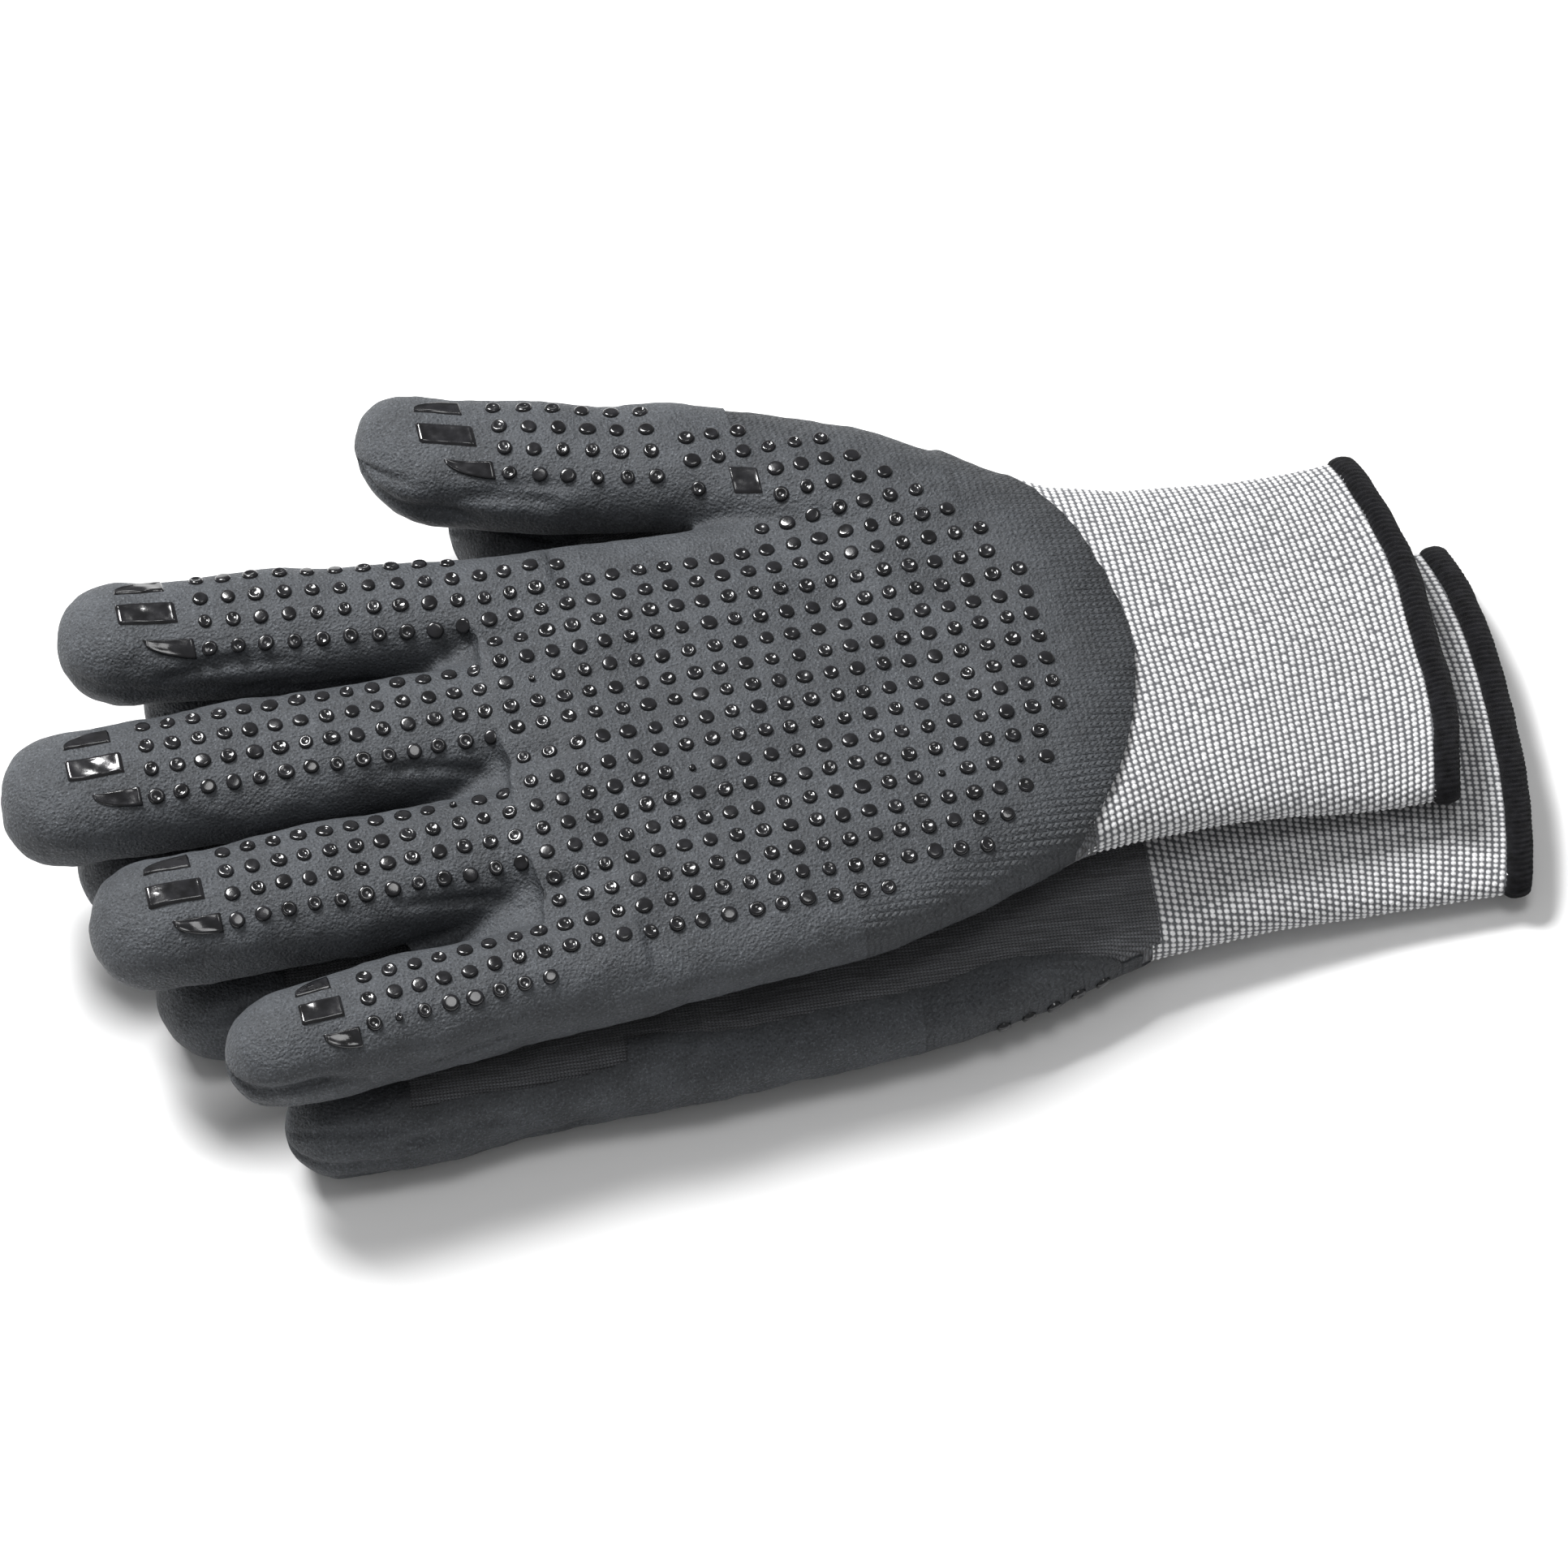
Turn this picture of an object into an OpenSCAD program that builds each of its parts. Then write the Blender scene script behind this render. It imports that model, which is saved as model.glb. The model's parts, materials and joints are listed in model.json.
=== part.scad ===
// A pair of dipped work gloves lying flat, one on the other, back to back.
// The left glove lies palm down on the ground and the right glove lies on it, palm up.
// Fingers point to -X, cuffs to +X, thumbs to +Y. All sizes are in millimetres.

/* [Hand] */
// From the finger roots to the wrist seam
palm_l = 95; // [79:1:115]
// Across the palm at the finger roots
palm_w = 100; // [90:1:122]
// Thickness of the empty palm, lying flat
palm_t = 18; // [15:0.5:22]
// How far the thumb's base bulges past the index finger's side
thumb_bulge = 24; // [16:1:30]

/* [Fingers] */
// Length of the index finger from its root
index_l = 73; // [58:1:88]
// Length of the middle finger
middle_l = 88.5; // [70:1:106]
// Length of the ring finger
ring_l = 78; // [62:1:94]
// Length of the little finger
little_l = 60; // [48:1:72]
// Length of the thumb
thumb_l = 53; // [45:1:64]
// Width of the index finger
index_w = 22.4; // [18:0.2:23]
// Width of the middle finger
middle_w = 25; // [20:0.2:25.8]
// Width of the ring finger
ring_w = 24.4; // [19:0.2:25.8]
// Width of the little finger
little_w = 20.6; // [16:0.2:24.6]
// Width of the thumb
thumb_w = 25; // [20:0.2:29]
// Thickness of a finger
finger_t = 17.2; // [14:0.2:20]

/* [Cuff] */
// Length of the ribbed cuff, from the wrist seam to the hem
cuff_l = 65; // [50:1:84]
// Width of the cuff, lying flat
cuff_w = 76; // [64:1:88]
// Thickness of the flattened cuff at its hem
cuff_t = 9.6; // [8.5:0.2:14]
// Width of the overlocked hem
hem_l = 4.5; // [3:0.5:8]

/* [Fabric and coating] */
// Thickness of the knitted liner
knit_t = 0.8; // [0.6:0.1:1]
// Thickness of the foam coating on the liner
coat_t = 0.8; // [0.6:0.1:1]
// How far the coating reaches past the wrist seam over the palm side of the cuff
coat_reach = 16; // [8:1:24]

/* [Grip] */
// Diameter of a grip dot
dot_d = 2.7; // [2:0.1:3.2]
// Height of a grip dot over the coating
dot_h = 0.6; // [0.3:0.1:1]
// Distance between dots along the hand
dot_pitch = 4.65; // [4.2:0.05:6]
// Distance between rows of dots
row_pitch = 5; // [4.4:0.1:6]
// Length of the middle pad on a fingertip
bar_l = 9.6; // [7:0.2:12]
// Width of the middle pad on a fingertip
bar_w = 4.6; // [3:0.2:5.4]

/* [Pose] */
// Turn of the lower glove under the upper one, in degrees
lower_turn = -3; // [-6:0.2:0]
// Shift of the lower glove towards the cuffs
lower_x = 11.5; // [4:0.5:14]
// Shift of the lower glove away from the thumbs
lower_y = -6.8; // [-14:0.2:-4]
// Air between the two gloves
stack_gap = 0.8; // [0.6:0.1:1.5]

/* [Hidden] */
$fn = 32;
HANDS = ["right", "left"];
FINGERS = ["index", "middle", "ring", "little", "thumb"];

COATING = [0.23, 0.25, 0.27];
KNIT = [0.16, 0.17, 0.18];
RUBBER = [0.04, 0.04, 0.045];
RIB = [0.72, 0.73, 0.74];
OVERLOCK = [0.08, 0.08, 0.09];

palm_half = palm_t / 2;
cuff_half = cuff_t / 2;
skin = knit_t + coat_t;         // wall of a coated stretch
facets = 23;                    // facets around a tube, odd so that one lies flat on top
palm_power = 3;                 // squareness of the palm's section
finger_power = 2.3;             // squareness of a finger's section
ball_power = 2.6;               // squareness of the ball of the thumb
ball_drop = 0.6;                // how much lower the ball of the thumb is than the palm
wrap_share = 0.72;              // how far the coating wraps round the palm's sides, of the half thickness
finger_wrap = 30;               // how far the coating wraps round a finger's sides, in degrees
joint_gap = 0.4;                // air between two neighbouring stretches of a finger
knuckle_share = 0.46;           // where a finger's middle joint is, as a share of its length
tip_round = 13;                 // length of the rounded end of a finger
embed = 0.5;                    // how deep a dot sits in the coating
hem_lip = 0.7;                  // how far the overlock stands out from the cuff
patch_l = 5.2;                  // side of the square pad by the thumb
seam_clear = 2.2;               // bare coating on each side of a joint

// Finger: [root Y, sideways lean per mm, length, width at the middle, dot rows, root X, width at the root]
function finger(f) =
    f == "index" ? [0.313 * palm_w, 0.125, index_l, index_w, 4, 0, 0.214 * palm_w]
    : f == "middle" ? [0.073 * palm_w, 0.008, middle_l, middle_w, 4, 0, 0.248 * palm_w]
    : f == "ring" ? [-0.194 * palm_w, -0.03, ring_l, ring_w, 4, 0, 0.24 * palm_w]
    : f == "little" ? [-0.463 * palm_w, -0.095, little_l, little_w, 3, 0, 0.2 * palm_w]
    : [thumb_root_y, 0.28, thumb_l, thumb_w, 4, thumb_root_x, thumb_w - 0.4];
thumb_root_x = 0.42 * palm_l;
palm_top = palm_w * 0.43;                     // index side of the palm
palm_low = palm_top - palm_w;                 // little-finger side of the palm
thumb_root_y = palm_top + 0.5 * thumb_bulge;
cuff_mid = 2.2;                               // the hem's middle, sideways

// Section stations along the palm and cuff: [x, lower Y, upper Y]
wrist_x = palm_l;
hem_x = palm_l + cuff_l;
PALM = [
    [0, palm_low, palm_top - 0.5],
    [0.15 * palm_l, palm_low + 0.5, palm_top - 2.2],
    [thumb_root_x, palm_low + 2.9, palm_top - 2.6],
    [0.57 * palm_l, palm_low + 4.5, palm_top - 1.5],
    [0.78 * palm_l, palm_low + 9.5, palm_top + 0.2 * thumb_bulge],
    [0.92 * palm_l, cuff_mid - 0.59 * cuff_w, palm_top + 0.2 * thumb_bulge],
    [wrist_x, cuff_mid - 0.565 * cuff_w, cuff_mid + 0.53 * cuff_w]];
// The ball of the thumb, from the thumb's root into the palm
BALL = [
    [thumb_root_x, thumb_root_y - thumb_w / 2 + 0.2, thumb_root_y + thumb_w / 2 - 0.2],
    [0.57 * palm_l, palm_top - 8, palm_top + 0.86 * thumb_bulge],
    [0.78 * palm_l, palm_top - 22, palm_top + 0.5 * thumb_bulge],
    [0.92 * palm_l, palm_top - 30, palm_top + 0.12 * thumb_bulge]];
CUFF = [
    PALM[6],
    [wrist_x + 10, cuff_mid - 0.545 * cuff_w, cuff_mid + 0.465 * cuff_w],
    [wrist_x + 0.35 * cuff_l, cuff_mid - 0.525 * cuff_w, cuff_mid + 0.45 * cuff_w],
    [wrist_x + 0.65 * cuff_l, cuff_mid - 0.51 * cuff_w, cuff_mid + 0.465 * cuff_w],
    [hem_x, cuff_mid - 0.5 * cuff_w, cuff_mid + 0.5 * cuff_w]];

// Middle of the pair's outline, where the origin is: from the upper glove's middle fingertip to the lower
// glove's hem, and from the upper glove's thumb to the lower glove's little finger
tip_gone = 0.2;                 // what the flat end of a fingertip's last facet takes off its length
centre_x = (lower_x + (hem_x + hem_l) * cos(lower_turn) - (cuff_mid + cuff_w / 2) * sin(lower_turn)
    - middle_l + tip_gone) / 2;
centre_y = (finger_y("thumb", thumb_l - tip_round) + thumb_w / 2 + lower_y
    - (little_l - tip_round) * sin(lower_turn)
    + (finger_y("little", little_l - tip_round) - little_w / 2) * cos(lower_turn)) / 2;

// Half thickness of the hand at x: full over the palm, thinning to the hem
function smooth(t) = t <= 0 ? 0 : t >= 1 ? 1 : t * t * (3 - 2 * t);
function half_at(x) = palm_half - (palm_half - cuff_half) * smooth((x - 0.85 * palm_l) / (cuff_l + 0.15 * palm_l));
// Height of the middle plane at x. Both gloves are drawn palm up, and the lower one is mirrored.
function mid_at(h, x, half) = h == "left" ? -half : 2 * half_at(x - lower_x) + stack_gap + half;

function power(v, p) = sign(v) * pow(abs(v), p);
// Points of a section from angle t0 to t1, drawn inset by d
function section(x, y, z, a, b, e, t0, t1, d) =
    [for (i = [0 : facets]) let (t = t0 + (t1 - t0) * i / facets)
        [x, y + (a - d) * power(cos(t), 2 / e), z + (b - d) * power(sin(t), 2 / e)]];

// Sections along the hand, inset by d
function hand_rows(h, stations, t0, t1, d) =
    [for (s = stations) let (half = half_at(s[0]))
        section(s[0], (s[1] + s[2]) / 2, mid_at(h, s[0], half), (s[2] - s[1]) / 2, half,
            palm_power, t0, t1, d)];

// Half width of a finger at distance s from its root
function finger_half(f, s) = let (k = finger(f), w = k[6] + (k[3] - k[6]) * smooth(s / (0.6 * k[2])))
    w / 2 * (s < k[2] - tip_round ? 1 : sqrt(max(0, 1 - pow((s - k[2] + tip_round) / tip_round, 2))));
function tip_shrink(f, s) = let (k = finger(f))
    s < k[2] - tip_round ? 1 : sqrt(max(0, 1 - pow((s - k[2] + tip_round) / tip_round, 2)));
function finger_y(f, s) = let (k = finger(f)) k[0] + k[1] * s;
function finger_x(f, s) = finger(f)[5] - s;
function finger_mid(h, f) = mid_at(h, finger(f)[5], finger_t / 2);
function joint_s(f) = finger(f)[2] * knuckle_share;

// Sections along a finger at the distances in S, inset by d
function finger_rows(h, f, S, t0, t1, d) =
    [for (s = S) section(finger_x(f, s), finger_y(f, s), finger_mid(h, f), finger_half(f, s),
        finger_t / 2 * tip_shrink(f, s), finger_power, t0, t1, d)];

// Distances of the sections: the base stretch, then the tip stretch
function base_S(f) = [joint_gap, 0.33 * joint_s(f), 0.66 * joint_s(f), joint_s(f) - joint_gap / 2];
function tip_S(f) = let (l = finger(f)[2], straight = l - tip_round)
    concat([joint_s(f) + joint_gap / 2, (joint_s(f) + straight) / 2],
        [for (t = [0, 30, 50, 66, 80]) straight + tip_round * sin(t)]);

// A wall between outer and inner rows of points, open at both ends; its long edges are closed,
// and where the rows come full circle those edges meet
module wall(outer, inner) {
    n = len(outer[0]);
    m = len(outer);
    q = n * m;
    full = norm(outer[0][0] - outer[0][n - 1]) < 0.001;
    k = full ? n - 1 : n;
    last = full ? k : k - 1;
    function at(j, i) = j * n + (i % k);
    side = [for (j = [0 : m - 2], i = [0 : last - 1])
        each [[at(j, i), at(j, i + 1), at(j + 1, i + 1)], [at(j, i), at(j + 1, i + 1), at(j + 1, i)]]];
    back = [for (t = side) [t[0] + q, t[2] + q, t[1] + q]];
    ends = [for (i = [0 : last - 1])
        each [[at(0, i), q + at(0, i), q + at(0, i + 1)], [at(0, i), q + at(0, i + 1), at(0, i + 1)],
            [at(m - 1, i), at(m - 1, i + 1), q + at(m - 1, i + 1)],
            [at(m - 1, i), q + at(m - 1, i + 1), q + at(m - 1, i)]]];
    edges = full ? [] : [for (j = [0 : m - 2])
        each [[at(j, 0), at(j + 1, 0), q + at(j + 1, 0)], [at(j, 0), q + at(j + 1, 0), q + at(j, 0)],
            [at(j, last), q + at(j, last), q + at(j + 1, last)],
            [at(j, last), q + at(j + 1, last), at(j + 1, last)]]];
    polyhedron(concat([for (r = outer) each r], [for (r = inner) each r]), concat(side, back, ends, edges));
}

// A closed-ended sleeve: the last outer and inner rows are each capped
module cup(outer, inner) {
    n = len(outer[0]);
    k = n - 1;
    m = len(outer);
    r = len(inner);
    q = n * m;
    function at(j, i) = j * n + (i % k);
    side = [for (j = [0 : m - 2], i = [0 : k - 1])
        each [[at(j, i), at(j, i + 1), at(j + 1, i + 1)], [at(j, i), at(j + 1, i + 1), at(j + 1, i)]]];
    hollow = [for (j = [0 : r - 2], i = [0 : k - 1])
        each [[q + at(j, i), q + at(j + 1, i + 1), q + at(j, i + 1)],
            [q + at(j, i), q + at(j + 1, i), q + at(j + 1, i + 1)]]];
    mouth = [for (i = [0 : k - 1])
        each [[at(0, i), q + at(0, i), q + at(0, i + 1)], [at(0, i), q + at(0, i + 1), at(0, i + 1)]]];
    caps = [for (i = [1 : k - 2])
        each [[at(m - 1, 0), at(m - 1, i), at(m - 1, i + 1)],
            [q + at(r - 1, 0), q + at(r - 1, i + 1), q + at(r - 1, i)]]];
    polyhedron(concat([for (p = outer) each p], [for (p = inner) each p]), concat(side, hollow, mouth, caps));
}

// A solid through full-circle sections, closed at both ends
module loft(rows) {
    k = len(rows[0]) - 1;
    m = len(rows);
    polyhedron([for (r = rows, i = [0 : k - 1]) r[i]],
        concat([for (j = [0 : m - 2], i = [0 : k - 1]) let (a = j * k + i, b = j * k + (i + 1) % k)
            each [[a, b, b + k], [a, b + k, a + k]]],
            [[for (i = [k - 1 : -1 : 0]) i], [for (i = [0 : k - 1]) (m - 1) * k + i]]));
}

// Puts a glove drawn palm up where it lies: the lower one turned over, turned and shifted
module lay(h) {
    translate([-centre_x, -centre_y, 0])
        if (h == "left") translate([lower_x, lower_y, 0]) rotate([0, 0, lower_turn]) mirror([0, 0, 1]) children();
        else children();
}

// A dot or pad on a surface at [x, y]: section middle and halves, squareness. Under the lower glove it is
// pressed into the foam as far as the ground asks.
module dot(h, x, y, yc, zc, a, b, e, shape = "dot") {
    u = (y - yc) / a;
    w = pow(max(0.02, 1 - pow(abs(u), e)), 1 / e);
    lean = atan2(power(u, e - 1) / a, pow(w, e - 1) / b);
    z = zc + b * w;
    reach = shape == "dot" ? dot_d / 2 : bar_w / 2;
    room = h == "left" ? max(0, (-z - reach * abs(sin(lean))) / cos(lean)) : dot_h;
    rise = min(dot_h, room);
    translate([x, y, z]) rotate([-lean, 0, 0]) translate([0, 0, -embed])
        if (shape == "dot") cylinder(h = embed + rise, d = dot_d);
        else if (shape == "bar") translate([-bar_l / 2, -bar_w / 2, 0]) cube([bar_l, bar_w, embed + rise]);
        else if (shape == "patch") linear_extrude(embed + rise) rotate(12) square(patch_l, center = true);
        else linear_extrude(embed + rise) side_bar(shape);
}

// Outline of a side pad: blunt at the root end, drawn to a point along its outer side
module side_bar(shape) {
    turn = shape == "left_bar" ? 1 : -1;
    l = 0.83 * bar_l;
    w = 0.72 * bar_w;
    polygon([[l / 2, -turn * w / 2], [l / 2, turn * w / 2], [-0.1 * l, turn * 0.44 * w],
        [-0.36 * l, turn * 0.1 * w], [-l / 2, -turn * w / 2]]);
}

// Edge of the palm's coating over the cuff: everything on the finger side of an arc
module coat_mask() {
    reach_x = wrist_x + coat_reach;
    r = 0.78 * cuff_w;
    steps = 16;
    translate([0, 0, -200]) linear_extrude(400) polygon(concat([[-200, -200], [reach_x - 2 * coat_reach, -200]],
        [for (i = [0 : steps]) let (t = -62 + 124 * i / steps)
            [reach_x - r + r * cos(t), cuff_mid + r * sin(t)]],
        [[reach_x - 2 * coat_reach, 200], [-200, 200]]));
}

// Sections of the ball of the thumb, a little thinner than the palm so that it blends in below its face
function ball_rows(h, stations, d) =
    [for (s = stations) let (half = half_at(s[0]))
        section(s[0], (s[1] + s[2]) / 2, mid_at(h, s[0], half), (s[2] - s[1]) / 2, half - ball_drop,
            ball_power, -90, 270, d)];

// Stations run on past both ends by r, so that a cavity comes out through both
function run_on(S, r) = concat([[S[0][0] - r, S[0][1], S[0][2]]], [for (i = [1 : len(S) - 2]) S[i]],
    [[S[len(S) - 1][0] + r, S[len(S) - 1][1], S[len(S) - 1][2]]]);

// The hand from finger roots to wrist as one solid, inset by d, with its ends r further out
module hand_solid(h, stations, d, r) {
    for (rows = [hand_rows(h, run_on(stations, r), -90, 270, d), ball_rows(h, run_on(BALL, r), d)],
        i = [0 : len(rows) - 2])
        hull() loft([rows[i], rows[i + 1]]);
}

// Everything on the palm side of the line where the coating ends on the back of the hand
module wrap_mask(h) {
    X = [-20, 0.5 * palm_l, 0.85 * palm_l, palm_l, palm_l + coat_reach, palm_l + cuff_l];
    rotate([90, 0, 0]) linear_extrude(400, center = true) polygon(concat(
        [for (x = X) [x, mid_at(h, x, half_at(x)) - wrap_share * half_at(x)]], [[palm_l + cuff_l, 300], [-20, 300]]));
}

module palm_coating(h) {
    stations = concat(PALM, [CUFF[1], CUFF[2]]);
    color(COATING) lay(h) difference() {
        intersection() {
            hand_solid(h, stations, 0, 0);
            coat_mask();
            wrap_mask(h);
        }
        hand_solid(h, stations, coat_t, 3);
    }
}

module palm_liner(h) {
    color(KNIT) lay(h) difference() {
        hand_solid(h, PALM, coat_t, 0);
        hand_solid(h, PALM, skin, 3);
    }
}

module cuff(h) {
    color(RIB) lay(h) wall(hand_rows(h, CUFF, -90, 270, coat_t), hand_rows(h, CUFF, -90, 270, skin));
}

module hem(h) {
    ends = [[hem_x, CUFF[4][1], CUFF[4][2]], [hem_x + hem_l, CUFF[4][1], CUFF[4][2]]];
    color(OVERLOCK) lay(h) wall(hand_rows(h, ends, -90, 270, coat_t - hem_lip), hand_rows(h, ends, -90, 270, skin));
}

module base_coating(h, f) {
    color(COATING) lay(h) wall(finger_rows(h, f, base_S(f), -finger_wrap, 180 + finger_wrap, 0),
        finger_rows(h, f, base_S(f), -finger_wrap, 180 + finger_wrap, coat_t));
}

module base_liner(h, f) {
    color(KNIT) lay(h) wall(finger_rows(h, f, base_S(f), -90, 270, coat_t),
        finger_rows(h, f, base_S(f), -90, 270, skin));
}

module tip_coating(h, f) {
    S = tip_S(f);
    color(COATING) lay(h) cup(finger_rows(h, f, S, -90, 270, 0),
        finger_rows(h, f, [for (i = [0 : len(S) - 2]) S[i]], -90, 270, skin));
}

// Height of a section over its middle plane, at u from 0 at its middle to 1 at its edge
function crown(b, e, u) = b * pow(max(0, 1 - pow(abs(u), e)), 1 / e);

// Rows of dots across the palm, which stop at the wrist and at the roots of the fingers. Each dot is on the
// palm or on the ball of the thumb, whichever stands higher there.
module palm_grip(h) {
    color(RUBBER) lay(h) {
        for (x = [seam_clear + dot_d / 2 : dot_pitch : wrist_x], j = [-11 : 13]) {
            y = j * row_pitch;
            half = half_at(x);
            palm = span_at(PALM, x);
            ball = span_at(BALL, x);
            u = (y - palm[0]) / palm[1];
            v = (y - ball[0]) / ball[1];
            on_ball = x > thumb_root_x + seam_clear && y > palm[0] && abs(v) < 0.8
                && crown(half - ball_drop, ball_power, v) > crown(half, palm_power, u);
            patch_far = norm([x - patch_x, y - patch_y]) > patch_l * 0.7 + dot_d / 2;
            if (patch_far && on_ball)
                dot(h, x, y, ball[0], mid_at(h, x, half), ball[1], half - ball_drop, ball_power);
            else if (patch_far && abs(u) < 0.84)
                dot(h, x, y, palm[0], mid_at(h, x, half), palm[1], half, palm_power);
        }
        crotch_patch(h);
    }
}

// The plain square pad between the thumb and the index finger
patch_x = thumb_root_x + 14;
patch_y = palm_top - 0.2 * patch_l;
module crotch_patch(h) {
    half = half_at(patch_x);
    ball = span_at(BALL, patch_x);
    dot(h, patch_x, patch_y, ball[0], mid_at(h, patch_x, half), ball[1], half - ball_drop, ball_power, "patch");
}

// Middle and half width of the sections S at x
function span_at(S, x) =
    let (lo = lookup(x, [for (s = S) [s[0], s[1]]]), hi = lookup(x, [for (s = S) [s[0], s[2]]]))
    [(lo + hi) / 2, (hi - lo) / 2];

module finger_dots(h, f, s0, s1) {
    k = finger(f);
    n = floor((s1 - s0 - dot_d) / dot_pitch);
    for (i = [0 : n], j = [0 : k[4] - 1]) {
        s = s0 + dot_d / 2 + i * dot_pitch;
        row = (j - (k[4] - 1) / 2) * row_pitch * 0.94;
        dot(h, finger_x(f, s), finger_y(f, s) + row, finger_y(f, s), finger_mid(h, f), finger_half(f, s),
            finger_t / 2, finger_power);
    }
}

module base_grip(h, f) {
    color(RUBBER) lay(h) finger_dots(h, f, seam_clear, joint_s(f) - seam_clear);
}

module tip_grip(h, f) {
    end = finger(f)[2] - tip_round;
    s = end - 0.1 * bar_l;
    color(RUBBER) lay(h) {
        finger_dots(h, f, joint_s(f) + seam_clear, s - bar_l / 2 - 0.6);
        for (p = [["bar", 0, 0], ["left_bar", 1, -2], ["right_bar", -1, -2]])
            dot(h, finger_x(f, s + p[2]), finger_y(f, s) + p[1] * 1.6 * row_pitch, finger_y(f, s),
                finger_mid(h, f), finger_half(f, s), finger_t / 2, finger_power, p[0]);
    }
}

for (h = HANDS) {
    palm_coating(h);
    palm_liner(h);
    palm_grip(h);
    cuff(h);
    hem(h);
    for (f = FINGERS) {
        base_coating(h, f);
        base_liner(h, f);
        base_grip(h, f);
        tip_coating(h, f);
        tip_grip(h, f);
    }
}
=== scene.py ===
"""A pair of dipped work gloves, lying back to back: soft skins, grip dots, rib cuffs and overlocked hems.

Lengths inside the functions are in millimetres in each glove's own frame: X from the finger roots to the
cuff, Y towards the thumb, Z out of the palm. place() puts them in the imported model's frame, in metres.
"""

import json
import math

import bmesh
import bpy
import numpy as np
from bpy.props import FloatProperty, FloatVectorProperty, PointerProperty
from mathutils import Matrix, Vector
from mathutils.bvhtree import BVHTree


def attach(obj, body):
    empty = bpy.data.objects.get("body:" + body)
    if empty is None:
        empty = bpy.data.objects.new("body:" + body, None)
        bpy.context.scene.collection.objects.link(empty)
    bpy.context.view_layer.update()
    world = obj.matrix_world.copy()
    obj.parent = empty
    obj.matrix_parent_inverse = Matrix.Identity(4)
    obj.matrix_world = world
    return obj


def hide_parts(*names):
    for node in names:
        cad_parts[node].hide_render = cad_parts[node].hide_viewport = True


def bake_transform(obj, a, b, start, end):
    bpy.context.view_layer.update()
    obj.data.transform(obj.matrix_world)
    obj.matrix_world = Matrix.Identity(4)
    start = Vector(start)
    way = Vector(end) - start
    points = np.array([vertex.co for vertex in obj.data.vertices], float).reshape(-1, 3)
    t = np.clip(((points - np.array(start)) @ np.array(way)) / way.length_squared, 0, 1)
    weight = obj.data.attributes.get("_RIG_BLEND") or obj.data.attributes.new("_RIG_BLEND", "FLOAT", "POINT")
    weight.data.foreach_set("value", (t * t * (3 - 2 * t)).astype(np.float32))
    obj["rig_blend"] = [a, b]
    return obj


bl_info = {
    "name": "Work gloves",
    "version": (1, 0, 0),
    "blender": (4, 5, 0),
    "location": "View3D > Sidebar > Gloves",
    "description": "Builds a pair of dipped work gloves around their packed model",
    "category": "Mesh",
}

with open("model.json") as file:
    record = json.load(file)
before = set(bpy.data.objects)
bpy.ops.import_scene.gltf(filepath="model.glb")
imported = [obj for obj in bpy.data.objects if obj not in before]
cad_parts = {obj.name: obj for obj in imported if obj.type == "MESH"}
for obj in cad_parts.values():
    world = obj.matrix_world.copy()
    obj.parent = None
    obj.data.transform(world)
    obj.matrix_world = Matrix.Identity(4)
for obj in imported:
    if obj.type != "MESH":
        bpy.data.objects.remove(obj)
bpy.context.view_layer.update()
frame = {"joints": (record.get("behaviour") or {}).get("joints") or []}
JOINTS = {j["name"]: j for j in frame["joints"]}

MM = 0.001
HANDS = ("right", "left")
FINGERS = ("index", "middle", "ring", "little", "thumb")
SIDE = {"right": 1.0, "left": -1.0}
SEED = {"right": 11, "left": 47}

# Finger: root Y, sideways lean, length, width at the root, width at the middle, rows of dots
FINGER = {
    "index": (31.3, 0.125, 73.0, 22.0, 23.2, 4),
    "middle": (7.3, 0.008, 88.5, 25.2, 25.8, 4),
    "ring": (-19.4, -0.03, 78.0, 24.6, 25.2, 4),
    "little": (-46.3, -0.095, 60.0, 20.8, 21.4, 3),
    "thumb": (55.2, 0.28, 53.4, 25.4, 26.2, 4),
}
FINGER_POWER = 2.25
PALM_POWER = 3.0
BALL_POWER = 2.5
JOINT_SHARE = 0.46
CUFF_MIDDLE = 2.2


def millimetres(name, description, value):
    """A length that the panel shows in the scene's own units."""
    return FloatProperty(name=name, description=description, default=value * MM, unit="LENGTH", precision=5)


def colour(name, description, value):
    return FloatVectorProperty(
        name=name, description=description, default=value, size=3, min=0, max=1, subtype="COLOR"
    )


class GloveSizes(bpy.types.PropertyGroup):
    """Sizes of one glove. Both gloves share them."""

    palm_length: millimetres("Palm length", "From the finger roots to the wrist seam", 95)
    palm_width: millimetres("Palm width", "Across the palm at the finger roots", 100)
    palm_thickness: millimetres("Palm thickness", "Thickness of the empty palm", 18.2)
    thumb_bulge: millimetres("Thumb bulge", "How far the ball of the thumb stands out", 24)
    finger_thickness: millimetres("Finger thickness", "Thickness of an empty finger", 17.6)
    tip_round: millimetres("Fingertip", "Length of the rounded end of a finger", 12.5)
    cuff_length: millimetres("Cuff length", "From the wrist seam to the hem", 65)
    cuff_width: millimetres("Cuff width", "Width of the cuff lying flat", 76)
    cuff_thickness: millimetres("Cuff thickness", "Thickness of the flattened cuff", 9.6)
    hem_width: millimetres("Hem width", "Width of the overlocked edge", 4.5)
    stack_gap: millimetres("Stack gap", "Air between the two gloves", 0.5)
    voxel: millimetres("Mesh size", "Size of the faces of the soft skin", 0.6)


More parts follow.
